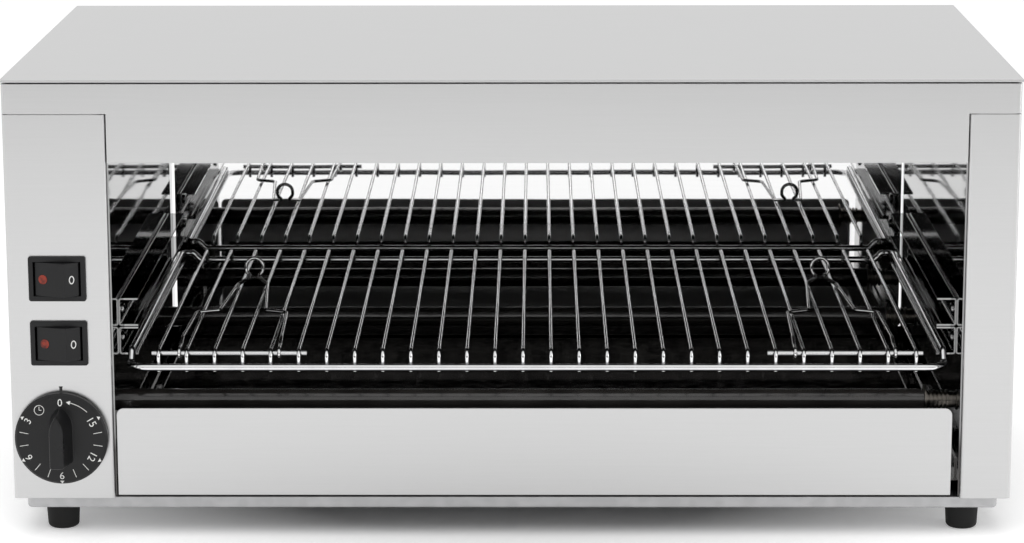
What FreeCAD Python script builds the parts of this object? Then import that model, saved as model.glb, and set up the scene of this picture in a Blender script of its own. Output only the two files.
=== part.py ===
import FreeCAD, Part
import math
import os

# Countertop sandwich toaster. Millimetres, +Z up, the front faces -Y and +X is the viewer's right.
# Every piece is drawn with Y = 0 at the front panel and Z = 0 on the bench. The export then moves
# all of them along Y, so that the origin is the middle of the bounding box, on the bench.

# Outer casing
LID_WIDTH = 560.0
HEIGHT = 260.0
BODY_DEPTH = 312.6
LID_SHEET = 1.2
LID_OVERHANG = 0.7
LID_GAP = 0.9
LID_LIP = 14.0
SHEET = 1.0
BEND = 2.0
SEAM = 0.4
FLANGE = 12.0
HEADER_OVER_POST = 17.0
HEADER_WRAP = 14.0
OPENING_DROP = 46.0
LEFT_POST = 56.9
RIGHT_POST = 28.4
TONGUE_OVERLAP = 16.0
LINER_SHEET = 0.8

# Base and feet
FOOT_HEIGHT = 16.5
FOOT_TOP_RADIUS = 9.7
FOOT_BOTTOM_RADIUS = 8.7
FOOT_ROUND = 2.4
FOOT_RECESS_RADIUS = 3.8
FOOT_RECESS_DEPTH = 8.0
FOOT_INSET_X = 23.8
FOOT_INSET_Y = 25.0
PAN_HEIGHT = 6.5
PAN_INSET_X = 6.8
PAN_INSET_Y = 3.0
PAN_FLANGE = 15.0
PAN_BEND = 1.8

# Chamber
BACK_GAP = 2.6
RECESS_LEDGE = 4.0
SLOT_LEFT = 1.6
SLOT_RIGHT = 0.8
SLOT_BOTTOM = 50.0
LINER_FOOT = 18.0
LINER_FRONT_GAP = 0.5
LINER_RISE = 8.0
CEILING_DROP = 16.0

# Vents, inlet and rear fasteners
VENT_WIDTH = 3.0
VENT_HEIGHT = 26.0
VENT_PITCH = 8.0
VENT_COUNT = 4
RIGHT_VENT_COUNT = 2
VENT_LOW_Z = 100.0
VENT_ROW_PITCH = 60.0
GLAND_INSET_X = 27.3
GLAND_Z = 62.0
GLAND_BORE_RADIUS = 4.5
GLAND_THREAD_RADIUS = 8.0
GLAND_HEX = 20.0
GLAND_FLANGE_LENGTH = 5.0
GLAND_DOME_LENGTH = 13.0
GLAND_DOME_RADIUS = 9.4
GLAND_MOUTH_RADIUS = 7.0
GLAND_MOUTH_ROUND = 1.5
GLAND_INNER_LENGTH = 9.0
GLAND_NUT_LENGTH = 5.0
REAR_SCREW_X = 6.0
REAR_SCREW_RADIUS = 1.75
REAR_SCREW_LENGTH = 7.0
REAR_SCREW_HEAD_RADIUS = 3.5
REAR_SCREW_HEAD = 2.2
REAR_SCREW_LOW = 17.0
REAR_SCREW_DROP = 28.0
LID_SCREW_INSET = 100.0
SCREW_CLEARANCE = 0.1
FIT_GAP = 0.03

# Rack guides: two stacked channels on each side
GUIDE_FRONT = 28.0
GUIDE_BACK_GAP = 34.0
GUIDE_LOW_Z = 99.3
GUIDE_HEIGHT = 16.0
GUIDE_STACK_GAP = 0.5
GUIDE_DEPTH = 11.0
GUIDE_SHEET = 1.0
GUIDE_BEND = 1.6
RIVET_RADIUS = 1.9
RIVET_HEAD_RADIUS = 3.0
RIVET_HEAD = 1.3
RIVET_ROUND = 1.0
RIVET_TAIL_RADIUS = 2.5
RIVET_FRONT = 10.0
RIVET_BACK = 22.0

# Rack
FRAME_WIRE_RADIUS = 2.0
ROD_RADIUS = 1.15
ROD_SIDE_MARGIN = 16.0
ROD_PITCH = 15.7
ROD_Z = 105.0
ROD_BEND = 3.6
FRAME_SIDE_GAP = 5.3
FRAME_CORNER = 12.0
BACK_CORNER = 5.0
FRONT_BAR_Y = 8.5
FRONT_BAR_Z = 96.5
BACK_BAR_GAP = 18.0
BACK_BAR_Z = 98.2
SIDE_STEP_BEND = 2.5
SIDE_STEP_RUN = 5.0
BACK_DIP_RUN = 4.0
ROD_FRONT_REACH = 1.6
ROD_BACK_REACH = 1.0
WELD = 0.15
RUN_GAP = 0.3

# Pull handles of bent wire on the rack
HANDLE_INSET = 55.85
HANDLE_BAR_RADIUS = 1.5
HANDLE_BAR_LENGTH = 87.0
HANDLE_BAR_BACK = 6.0
HANDLE_WIRE_RADIUS = 1.1
HANDLE_EYE_GAP = 0.06
HANDLE_LEG = 28.0
HANDLE_KNEE = 26.4
HANDLE_STEP = 13.4
HANDLE_NECK = 2.2
HANDLE_SHOULDER = 9.0
HANDLE_KNEE_Y = 81.0
HANDLE_STEP_Y = 87.0
HANDLE_SHOULDER_Y = 157.0
HANDLE_NECK_Y = 168.0
HANDLE_NECK_RISE = 2.6
HANDLE_RING = 5.2
HANDLE_RING_LEAN = 1.2
HANDLE_RING_LOW = 5.5
HANDLE_RING_HIGH = 13.6
HANDLE_RISE_START = 8.0
HANDLE_RISE_END = 18.0
HANDLE_BENDS = (10.0, 10.0, 5.0, 4.0, 3.0, 2.2, 4.0, 5.15)

# Crumb tray
TRAY_FRONT_CLEARANCE = 7.2
TRAY_FRONT_BOTTOM = 25.0
TRAY_FRONT_TOP = 75.0
TRAY_OFFSET = -1.7
TRAY_CORNER = 4.0
TRAY_FLANGE = 11.0
TRAY_FLANGE_DROP = 10.0
TRAY_FLOOR_Z = 31.3
TRAY_SHEET = 0.8
TRAY_WALL = 12.5
TRAY_PAN_CLEARANCE = 11.1
TRAY_BACK_GAP = 5.0
RUNNER_WIDTH = 16.0
RUNNER_HEIGHT = 12.0

# Heating elements
TUBE_RADIUS = 6.2
TUBE_WALL = 1.2
TUBE_FRONT_Y = 40.0
TUBE_BACK_GAP = 58.0
TUBE_LOW_Z = 70.0
TUBE_CEILING_GAP = 18.0
TUBE_RIGHT_GAP = 15.0
TUBE_HOLE_GAP = 0.1
COIL_RADIUS = 3.4
CAP_RADIUS = 7.0
CAP_LENGTH = 13.0
FITTING_RADIUS = 4.6
FITTING_RING_RADIUS = 5.8
FITTING_RINGS = 5
FITTING_TAIL = 14.0
TERMINAL_RADIUS = 2.0
TERMINAL_LENGTH = 6.0
LINK_WIDTH = 9.0
LINK_SHEET = 1.0
CLIP_RADIUS = 8.6
CLIP_SHEET = 1.0

# Rocker switches
SWITCH_ZS = (112.6, 149.2)
BEZEL_WIDTH = 31.8
BEZEL_HEIGHT = 25.3
BEZEL_PROUD = 2.0
BEZEL_CORNER = 1.4
BEZEL_ROUND = 0.7
SWITCH_BODY_WIDTH = 29.6
SWITCH_BODY_HEIGHT = 21.8
SWITCH_BODY_DEPTH = 20.0
SWITCH_FLOOR = 4.8
PIN_SEAT = 1.0
PIN_END_GAP = 0.6
CUTOUT_GAP = 0.2
ROCKER_SWING_RADIUS = 12.9
ROCKER_GAP = 0.3
ROCKER_HEIGHT = 18.8
ROCKER_PIVOT_Y = 3.5
ROCKER_PIN_RADIUS = 1.4
ROCKER_PIN_GAP = 0.05
ROCKER_RIDGE_X = 2.7
ROCKER_RIDGE_PROUD = 7.6
ROCKER_LEFT_SUNK = 1.2
ROCKER_RIGHT_PROUD = 2.5
ROCKER_DEPTH = 5.0
ROCKER_TILT = 10.0
LENS_OFFSET = 8.6
LENS_RADIUS = 2.6
LENS_DEPTH = 1.6
LENS_PROUD = 0.2
TAB_WIDTH = 6.3
TAB_THICKNESS = 0.8
TAB_LENGTH = 8.0

# Timer
CONTROL_INSET = 28.1
TIMER_Z = 58.7
TIMER_BODY = 44.0
TIMER_DEPTH = 26.0
TIMER_CORNER = 4.0
SHAFT_RADIUS = 3.0
SHAFT_GAP = 0.05
SHAFT_REACH = 15.0
SHAFT_INSIDE = 8.0
SHAFT_END_GAP = 0.2
KNOB_RADIUS = 26.0
KNOB_CLEARANCE = 1.2
KNOB_SKIRT = 4.6
KNOB_RIM_DROP = 1.6
KNOB_RIM_ROUND = 1.2
KNOB_SLOPE = 8.0
KNOB_REACH = 25.0
GRIP_BOTTOM = 13.6
GRIP_TIP = 18.6
GRIP_SHOULDER = 7.0
GRIP_BASE = 13.0
GRIP_RIDGE = 7.6
GRIP_ROUND = 1.0
GRIP_SINK = 0.5
GRIP_DRAFT = 1.2
GRIP_CORNER = 1.5
GRIP_SLOPE_DROP = 8.0
TIMER_SCREW_SPREAD = 14.0
TIMER_SCREW_RADIUS = 1.5
TIMER_SCREW_LENGTH = 5.0
TIMER_SCREW_HEAD_RADIUS = 2.8
TIMER_SCREW_HEAD = 0.8

# Wiring and earth
BLOCK_WIDTH = 16.0
BLOCK_LENGTH = 30.0
BLOCK_HEIGHT = 16.0
BLOCK_BACK = 34.0
BLOCK_POLES = 3
BLOCK_SCREW_RADIUS = 2.4
BLOCK_SCREW_HOLE = 6.0
BLOCK_SCREW_SUNK = 1.0
BLOCK_LOW_ENTRY = 4.0
BLOCK_HIGH_ENTRY = 12.0
WIRE_RADIUS = 1.4
EARTH_RADIUS = 2.5
EARTH_LENGTH = 13.0
EARTH_NUT = 8.0
EARTH_NUT_HEIGHT = 4.0
EARTH_HEAD = 3.0
LOOM_Y = 120.0
LOOM_BACK_Y = 262.0
LUG_SETBACK = 4.0
WIRE_BEND_SHARE = 0.45

# Places worked out from the sizes above
BODY_HALF = LID_WIDTH / 2 - LID_OVERHANG
LID_BOTTOM = HEIGHT - LID_SHEET
HEADER_TOP = LID_BOTTOM - LID_GAP
OPENING_TOP = HEIGHT - OPENING_DROP
CEILING_Z = HEIGHT - CEILING_DROP
POST_TOP = HEADER_TOP - HEADER_OVER_POST
PANEL_BOTTOM = FOOT_HEIGHT + PAN_HEIGHT
FOOT_X = BODY_HALF - FOOT_INSET_X
GLAND_X = -BODY_HALF + GLAND_INSET_X
SWITCH_X = -BODY_HALF + CONTROL_INSET
TIMER_X = SWITCH_X
LID_SCREW_X = LID_WIDTH / 2 - LID_SCREW_INSET
LID_SCREW_XS = (-LID_SCREW_X, 0.0, LID_SCREW_X)
REAR_SCREW_LOW_Z = PANEL_BOTTOM + REAR_SCREW_LOW
REAR_SCREW_HIGH_Z = HEIGHT - REAR_SCREW_DROP
REAR_SCREW_ZS = (REAR_SCREW_LOW_Z, (REAR_SCREW_LOW_Z + REAR_SCREW_HIGH_Z) / 2, REAR_SCREW_HIGH_Z)
VENT_HIGH_Z = VENT_LOW_Z + VENT_ROW_PITCH
OPEN_LEFT = -BODY_HALF + LEFT_POST
OPEN_RIGHT = BODY_HALF - RIGHT_POST
OPEN_X = (OPEN_LEFT + OPEN_RIGHT) / 2
CHAMBER_LEFT = OPEN_LEFT + LINER_SHEET
CHAMBER_RIGHT = OPEN_RIGHT - LINER_SHEET
LINER_FRONT = BEND + LINER_FRONT_GAP
LINER_TOP = CEILING_Z + LINER_RISE
FLOOR_Z = PANEL_BOTTOM + SHEET
REAR_INNER = BODY_DEPTH - SHEET
BACK_WALL_Y = BODY_DEPTH - BACK_GAP
GUIDE_BACK = BACK_WALL_Y - GUIDE_BACK_GAP
GUIDE_LENGTH = GUIDE_BACK - GUIDE_FRONT
GUIDE_HIGH_Z = GUIDE_LOW_Z + GUIDE_HEIGHT + GUIDE_STACK_GAP
SIDE_BAR_Z = GUIDE_LOW_Z + GUIDE_SHEET + FRAME_WIRE_RADIUS + RUN_GAP
FRAME_LEFT = CHAMBER_LEFT + FRAME_SIDE_GAP + FRAME_WIRE_RADIUS
FRAME_RIGHT = CHAMBER_RIGHT - FRAME_SIDE_GAP - FRAME_WIRE_RADIUS
FRAME_WIDTH = FRAME_RIGHT - FRAME_LEFT
ROD_COUNT = 1 + int((FRAME_WIDTH - 2 * ROD_SIDE_MARGIN) / ROD_PITCH)
HANDLE_X = FRAME_WIDTH / 2 - HANDLE_INSET
BACK_BAR_Y = BACK_WALL_Y - BACK_BAR_GAP
ROD_FRONT_Y = FRONT_BAR_Y + FRAME_WIRE_RADIUS + ROD_RADIUS - WELD
ROD_BACK_Y = BACK_BAR_Y - FRAME_WIRE_RADIUS - ROD_RADIUS + WELD
HANDLE_BAR_Y = ROD_FRONT_Y + HANDLE_BAR_BACK
HANDLE_BAR_Z = ROD_Z - ROD_RADIUS - HANDLE_BAR_RADIUS + WELD
HANDLE_EYE_RADIUS = HANDLE_BAR_RADIUS + HANDLE_EYE_GAP + HANDLE_WIRE_RADIUS
HANDLE_Z = ROD_Z + ROD_RADIUS + RUN_GAP + HANDLE_WIRE_RADIUS
TRAY_X = OPEN_X + TRAY_OFFSET
TRAY_FRONT_WIDTH = OPEN_RIGHT - OPEN_LEFT - TRAY_FRONT_CLEARANCE
TRAY_PAN_WIDTH = TRAY_FRONT_WIDTH - TRAY_PAN_CLEARANCE
RUNNER_TOP = TRAY_FLOOR_Z - TRAY_SHEET - RUN_GAP
TUBE_BACK_Y = BACK_WALL_Y - TUBE_BACK_GAP
TUBE_HIGH_Z = CEILING_Z - TUBE_CEILING_GAP
TUBE_RIGHT = CHAMBER_RIGHT - TUBE_RIGHT_GAP
TUBE_LEFT = OPEN_LEFT - CAP_LENGTH
FITTING_RIGHT = OPEN_RIGHT + FITTING_TAIL
TERMINAL_LEFT = TUBE_LEFT - TERMINAL_LENGTH
TERMINAL_RIGHT = FITTING_RIGHT + TERMINAL_LENGTH
REAR_REACH = GLAND_FLANGE_LENGTH + GLAND_DOME_LENGTH
SHIFT_Y = -(BODY_DEPTH + REAR_REACH - KNOB_REACH) / 2

X_AXIS = FreeCAD.Vector(1, 0, 0)
Y_AXIS = FreeCAD.Vector(0, 1, 0)
Z_AXIS = FreeCAD.Vector(0, 0, 1)


# Small helpers

def vec(x, y, z):
    return FreeCAD.Vector(x, y, z)


def box(x0, x1, y0, y1, z0, z1):
    return Part.makeBox(x1 - x0, y1 - y0, z1 - z0, vec(x0, y0, z0))


def cylinder(radius, length, base, axis):
    return Part.makeCylinder(radius, length, base, axis)


def join(shapes):
    first = shapes[0]
    rest = shapes[1:]
    if not rest:
        return first
    return first.multiFuse(rest).removeSplitter()


def cut(shape, tools):
    return shape.cut(Part.makeCompound(tools))


def mirror_x(shape, x):
    return shape.mirror(vec(x, 0, 0), X_AXIS)


def corner_arc(before, corner, after, radius):
    """Tangent arc that rounds one corner of a path: its start, middle and end."""
    back = (before - corner).normalize()
    ahead = (after - corner).normalize()
    half = back.getAngle(ahead) / 2
    reach = radius / math.tan(half)
    middle = (back + ahead).normalize()
    start = corner + back * reach
    end = corner + ahead * reach
    centre = corner + middle * (radius / math.sin(half))
    return start, centre - middle * radius, end


def rounded_path(points, radii):
    """Straight runs joined by tangent arcs, from the first point to the last."""
    edges = []
    here = points[0]
    for i in range(1, len(points) - 1):
        start, middle, end = corner_arc(points[i - 1], points[i], points[i + 1], radii[i - 1])
        if (start - here).Length > 1e-6:
            edges.append(Part.LineSegment(here, start).toShape())
        edges.append(Part.Arc(start, middle, end).toShape())
        here = end
    if (points[-1] - here).Length > 1e-6:
        edges.append(Part.LineSegment(here, points[-1]).toShape())
    return edges


def bent_wire(points, radii, wire_radius):
    """Round wire swept along a rounded path."""
    path = Part.Wire(rounded_path(points, radii))
    direction = (points[1] - points[0]).normalize()
    profile = Part.Wire(Part.Circle(points[0], direction, wire_radius).toShape())
    return path.makePipeShell([profile], True, False)


def folded_sheet(points, sheet, bend, along):
    """Sheet folded along the outer line of its section. The thickness lies left of the line."""
    normal = along / along.Length
    sides = []
    for i in range(len(points) - 1):
        sides.append(normal.cross((points[i + 1] - points[i]).normalize()))
    inner = [points[0] + sides[0] * sheet]
    outer_radii = []
    inner_radii = []
    for i in range(1, len(points) - 1):
        spread = sides[i - 1] + sides[i]
        inner.append(points[i] + spread * (sheet / (1 + sides[i - 1].dot(sides[i]))))
        turn = sides[i - 1].cross(sides[i]).dot(normal)
        outer_radii.append(bend if turn > 0 else bend - sheet)
        inner_radii.append(bend - sheet if turn > 0 else bend)
    inner.append(points[-1] + sides[-1] * sheet)
    edges = rounded_path(points, outer_radii)
    edges.append(Part.LineSegment(points[-1], inner[-1]).toShape())
    edges.extend(rounded_path(inner[::-1], inner_radii[::-1]))
    edges.append(Part.LineSegment(inner[0], points[0]).toShape())
    face = Part.Face(Part.Wire(Part.sortEdges(edges)[0]))
    return face.extrude(along)


def tubes_at():
    """Axis position of each heating tube, the lower pair first."""
    return [(TUBE_FRONT_Y, TUBE_LOW_Z), (TUBE_BACK_Y, TUBE_LOW_Z),
            (TUBE_FRONT_Y, TUBE_HIGH_Z), (TUBE_BACK_Y, TUBE_HIGH_Z)]


def rivet_places():
    """Y and Z of every rivet of one side's guides."""
    places = []
    for z in (GUIDE_LOW_Z, GUIDE_HIGH_Z):
        for y in (GUIDE_FRONT + RIVET_FRONT, GUIDE_BACK - RIVET_BACK):
            places.append((y, z + GUIDE_HEIGHT / 2))
    return places


# Casing

def lid():
    outline = [
        vec(-LID_WIDTH / 2, -LID_OVERHANG, HEIGHT),
        vec(-LID_WIDTH / 2, BODY_DEPTH + LID_SHEET, HEIGHT),
        vec(-LID_WIDTH / 2, BODY_DEPTH + LID_SHEET, HEIGHT - LID_LIP),
    ]
    sheet = folded_sheet(outline[::-1], LID_SHEET, BEND, X_AXIS * LID_WIDTH)
    holes = []
    for x in LID_SCREW_XS:
        centre = vec(x, REAR_INNER, HEIGHT - LID_LIP / 2)
        holes.append(cylinder(REAR_SCREW_RADIUS + SCREW_CLEARANCE, 3 * SHEET, centre, Y_AXIS))
    return cut(sheet, holes)


def header():
    top = HEADER_TOP
    left = -BODY_HALF
    right = BODY_HALF
    section = [vec(left, HEADER_WRAP, POST_TOP + SEAM), vec(left, 0, POST_TOP + SEAM),
               vec(right, 0, POST_TOP + SEAM), vec(right, HEADER_WRAP, POST_TOP + SEAM)]
    band = folded_sheet(section, SHEET, BEND, Z_AXIS * (top - POST_TOP - SEAM))
    fascia = box(OPEN_LEFT + SEAM, OPEN_RIGHT - SEAM, 0, SHEET, OPENING_TOP, POST_TOP + SEAM)
    top_flange = box(left + SHEET, right - SHEET, SHEET, FLANGE, top - SHEET, top)
    low_flange = box(CHAMBER_LEFT + SEAM, CHAMBER_RIGHT - SEAM, SHEET, FLANGE + BEND,
                     OPENING_TOP, OPENING_TOP + SHEET)
    return join([band, fascia, top_flange, low_flange])


def side_section(left_edge, z):
    """Outer line of the left side panel seen from above: post return, post, side, rear flange."""
    return [vec(left_edge, FLANGE, z), vec(left_edge, 0, z), vec(-BODY_HALF, 0, z),
            vec(-BODY_HALF, REAR_INNER, z), vec(-BODY_HALF + FLANGE, REAR_INNER, z)]


def side_panel(post_width):
    """Side panel with its front post, drawn on the left."""
    edge = -BODY_HALF + post_width
    post_line = side_section(edge, PANEL_BOTTOM)[::-1]
    low = folded_sheet(post_line, SHEET, BEND, Z_AXIS * (POST_TOP - PANEL_BOTTOM))
    high_line = [vec(-BODY_HALF + FLANGE, REAR_INNER, POST_TOP), vec(-BODY_HALF, REAR_INNER, POST_TOP),
                 vec(-BODY_HALF, HEADER_WRAP + SEAM, POST_TOP)]
    high = folded_sheet(high_line, SHEET, BEND, Z_AXIS * (LID_BOTTOM - POST_TOP))
    inside = -BODY_HALF + SHEET
    floor_flange = box(inside, edge - FLANGE / 2, SHEET, REAR_INNER - SHEET, PANEL_BOTTOM, FLOOR_Z)
    top_flange = box(inside, inside + FLANGE, HEADER_WRAP + SEAM, REAR_INNER - SHEET,
                     LID_BOTTOM - SHEET, LID_BOTTOM)
    tongue_low = POST_TOP - TONGUE_OVERLAP
    tongue_high = HEADER_TOP - SHEET
    side_tongue = box(inside, inside + SHEET, 2 * BEND, HEADER_WRAP + TONGUE_OVERLAP,
                      tongue_low, tongue_high)
    post_tongue = box(inside + BEND, edge - 2 * BEND, SHEET, 2 * SHEET, tongue_low, tongue_high)
    return join([low, high, floor_flange, top_flange, side_tongue, post_tongue])


def rear_screw_places():
    places = []
    for x in (-BODY_HALF + REAR_SCREW_X, BODY_HALF - REAR_SCREW_X):
        for z in REAR_SCREW_ZS:
            places.append((x, z))
    return places


def rear_holes():
    holes = []
    for x, z in rear_screw_places():
        centre = vec(x, REAR_INNER - 2 * SHEET, z)
        holes.append(cylinder(REAR_SCREW_RADIUS + SCREW_CLEARANCE, 5 * SHEET, centre, Y_AXIS))
    return holes


def left_side_panel():
    panel = side_panel(LEFT_POST)
    tools = rear_holes()
    for z in SWITCH_ZS:
        half_width = SWITCH_BODY_WIDTH / 2 + CUTOUT_GAP
        half_height = SWITCH_BODY_HEIGHT / 2 + CUTOUT_GAP
        tools.append(box(SWITCH_X - half_width, SWITCH_X + half_width, -SHEET, 2 * SHEET,
                         z - half_height, z + half_height))
    tools.append(cylinder(2 * SHAFT_RADIUS, 3 * SHEET, vec(TIMER_X, -SHEET, TIMER_Z), Y_AXIS))
    for side in (-1, 1):
        base = vec(TIMER_X + side * TIMER_SCREW_SPREAD, -SHEET, TIMER_Z)
        tools.append(cylinder(TIMER_SCREW_RADIUS + SCREW_CLEARANCE, 3 * SHEET, base, Y_AXIS))
    tools.append(earth_hole(PANEL_BOTTOM - SHEET, 3 * SHEET))
    return cut(panel, tools)


def right_side_panel():
    return cut(mirror_x(side_panel(RIGHT_POST), 0), rear_holes())


def back_panel():
    """Rear sheet, pressed inwards behind the chamber, with vents, inlet hole and light slots."""
    low = PANEL_BOTTOM + RECESS_LEDGE
    high = LINER_TOP
    left = CHAMBER_LEFT - RECESS_LEDGE - LINER_SHEET
    right = CHAMBER_RIGHT + RECESS_LEDGE + LINER_SHEET
    rim = box(-BODY_HALF, BODY_HALF, REAR_INNER, BODY_DEPTH, PANEL_BOTTOM, HEADER_TOP)
    rim = rim.cut(box(left, right, REAR_INNER - SHEET, BODY_DEPTH + SHEET, low, high))
    pressed = box(left - SHEET, right + SHEET, BACK_WALL_Y, BODY_DEPTH, low - SHEET, high + SHEET)
    hollow = box(left, right, BACK_WALL_Y + SHEET, BODY_DEPTH + SHEET, low, high)
    sheet = join([rim, pressed.cut(hollow)])
    tools = rear_holes()
    tools.append(box(CHAMBER_LEFT, CHAMBER_LEFT + SLOT_LEFT, BACK_WALL_Y - SHEET,
                     BACK_WALL_Y + 2 * SHEET, SLOT_BOTTOM, CEILING_Z - SLOT_LEFT))
    tools.append(box(CHAMBER_RIGHT - SLOT_RIGHT, CHAMBER_RIGHT, BACK_WALL_Y - SHEET,
                     BACK_WALL_Y + 2 * SHEET, SLOT_BOTTOM, CEILING_Z - SLOT_LEFT))
    tools.append(cylinder(GLAND_THREAD_RADIUS + SCREW_CLEARANCE, 4 * SHEET,
                          vec(GLAND_X, REAR_INNER - SHEET, GLAND_Z), Y_AXIS))
    left_middle = (-BODY_HALF + FLANGE + left) / 2
    right_middle = (BODY_HALF - FLANGE + right) / 2
    for middle, count in ((left_middle, VENT_COUNT), (right_middle, RIGHT_VENT_COUNT)):
        for row in (VENT_LOW_Z, VENT_HIGH_Z):
            for i in range(count):
                x = middle + (i - (count - 1) / 2) * VENT_PITCH
                tools.append(vent(x, row))
    for x in LID_SCREW_XS:
        centre = vec(x, REAR_INNER - 8 * SHEET, HEIGHT - LID_LIP / 2)
        tools.append(cylinder(REAR_SCREW_RADIUS + SCREW_CLEARANCE, 10 * SHEET, centre, Y_AXIS))
    return cut(sheet, tools)


def vent(x, z):
    """Upright slot with round ends, centred on x and z."""
    half = VENT_WIDTH / 2
    straight = VENT_HEIGHT / 2 - half
    start = REAR_INNER - SHEET
    slot = box(x - half, x + half, start, start + 4 * SHEET, z - straight, z + straight)
    ends = []
    for end in (z - straight, z + straight):
        ends.append(cylinder(half, 4 * SHEET, vec(x, start, end), Y_AXIS))
    return join([slot] + ends)


def base_pan():
    left = -BODY_HALF + PAN_INSET_X
    right = BODY_HALF - PAN_INSET_X
    front = PAN_INSET_Y
    back = BODY_DEPTH - PAN_INSET_Y
    outer = box(left, right, front, back, FOOT_HEIGHT, PANEL_BOTTOM)
    upright = [e for e in outer.Edges if abs(e.BoundBox.ZLength - PAN_HEIGHT) < 1e-6]
    outer = outer.makeFillet(PAN_BEND + SHEET, upright)
    low = [e for e in outer.Edges if e.BoundBox.ZMax < FOOT_HEIGHT + 1e-6]
    outer = outer.makeFillet(PAN_BEND, low)
    inner = box(left + SHEET, right - SHEET, front + SHEET, back - SHEET,
                FOOT_HEIGHT + SHEET, PANEL_BOTTOM - SHEET)
    mouth = box(left + PAN_FLANGE, right - PAN_FLANGE, front + PAN_FLANGE, back - PAN_FLANGE,
                PANEL_BOTTOM - 2 * SHEET, PANEL_BOTTOM + SHEET)
    holes = [cylinder(REAR_SCREW_RADIUS + SCREW_CLEARANCE, 3 * SHEET, vec(x, y, FOOT_HEIGHT - SHEET), Z_AXIS)
             for x, y in foot_places()]
    holes.append(earth_hole(PANEL_BOTTOM - 2 * SHEET, 4 * SHEET))
    return cut(outer, [inner, mouth] + holes)


# Feet

def foot_places():
    places = []
    for y in (FOOT_INSET_Y, BODY_DEPTH - FOOT_INSET_Y):
        for x in (-FOOT_X, FOOT_X):
            places.append((x, y))
    return places


def rubber_feet():
    feet = []
    for x, y in foot_places():
        foot = Part.makeCone(FOOT_BOTTOM_RADIUS, FOOT_TOP_RADIUS, FOOT_HEIGHT, vec(x, y, 0), Z_AXIS)
        rim = [e for e in foot.Edges if e.BoundBox.ZMax < 1e-6]
        foot = foot.makeFillet(FOOT_ROUND, rim)
        recess = cylinder(FOOT_RECESS_RADIUS, FOOT_RECESS_DEPTH, vec(x, y, 0), Z_AXIS)
        hole = cylinder(REAR_SCREW_RADIUS + SCREW_CLEARANCE, FOOT_HEIGHT, vec(x, y, 0), Z_AXIS)
        feet.append(cut(foot, [recess, hole]))
    return Part.makeCompound(feet)


def foot_screws():
    screws = []
    for x, y in foot_places():
        head_z = FOOT_RECESS_DEPTH - REAR_SCREW_HEAD
        head = cylinder(REAR_SCREW_HEAD_RADIUS, REAR_SCREW_HEAD, vec(x, y, head_z), Z_AXIS)
        shank_length = FOOT_HEIGHT - head_z + 3 * SHEET
        shank = cylinder(REAR_SCREW_RADIUS, shank_length, vec(x, y, head_z), Z_AXIS)
        screws.append(join([head, shank]))
    return Part.makeCompound(screws)


# Rear fasteners and inlet

def pan_screw(x, z, seat_y):
    head = cylinder(REAR_SCREW_HEAD_RADIUS, REAR_SCREW_HEAD, vec(x, seat_y, z), Y_AXIS)
    rim = [e for e in head.Edges if e.BoundBox.YMin > seat_y + REAR_SCREW_HEAD - 1e-6]
    head = head.makeFillet(REAR_SCREW_HEAD / 2, rim)
    shank = cylinder(REAR_SCREW_RADIUS, REAR_SCREW_LENGTH, vec(x, seat_y - REAR_SCREW_LENGTH, z), Y_AXIS)
    return join([head, shank])


def back_screws():
    return Part.makeCompound([pan_screw(x, z, BODY_DEPTH) for x, z in rear_screw_places()])


def lid_screws():
    z = HEIGHT - LID_LIP / 2
    return Part.makeCompound([pan_screw(x, z, BODY_DEPTH + LID_SHEET) for x in LID_SCREW_XS])


def hexagon(across, length, base):
    radius = across / math.sqrt(3)
    points = []
    for i in range(7):
        angle = math.radians(60 * i + 30)
        points.append(base + vec(radius * math.cos(angle), 0, radius * math.sin(angle)))
    return Part.Face(Part.makePolygon(points)).extrude(Y_AXIS * length)


def cable_gland():
    start = BODY_DEPTH
    collar = hexagon(GLAND_HEX, GLAND_FLANGE_LENGTH, vec(GLAND_X, start, GLAND_Z))
    dome_base = vec(GLAND_X, start + GLAND_FLANGE_LENGTH, GLAND_Z)
    dome = Part.makeCone(GLAND_DOME_RADIUS, GLAND_MOUTH_RADIUS, GLAND_DOME_LENGTH, dome_base, Y_AXIS)
    rim = [e for e in dome.Edges if e.BoundBox.YMin > dome_base.y + GLAND_DOME_LENGTH - 1e-6]
    dome = dome.makeFillet(GLAND_MOUTH_ROUND, rim)
    inside = SHEET + GLAND_INNER_LENGTH
    thread = cylinder(GLAND_THREAD_RADIUS, inside, vec(GLAND_X, start - inside, GLAND_Z), Y_AXIS)
    bore = cylinder(GLAND_BORE_RADIUS, inside + REAR_REACH, vec(GLAND_X, start - inside, GLAND_Z), Y_AXIS)
    return cut(join([collar, dome, thread]), [bore])


def gland_nut():
    base = vec(GLAND_X, REAR_INNER - GLAND_NUT_LENGTH, GLAND_Z)
    nut = hexagon(GLAND_HEX, GLAND_NUT_LENGTH, base)
    return cut(nut, [cylinder(GLAND_THREAD_RADIUS + FIT_GAP, GLAND_NUT_LENGTH, base, Y_AXIS)])


# Chamber

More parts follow.
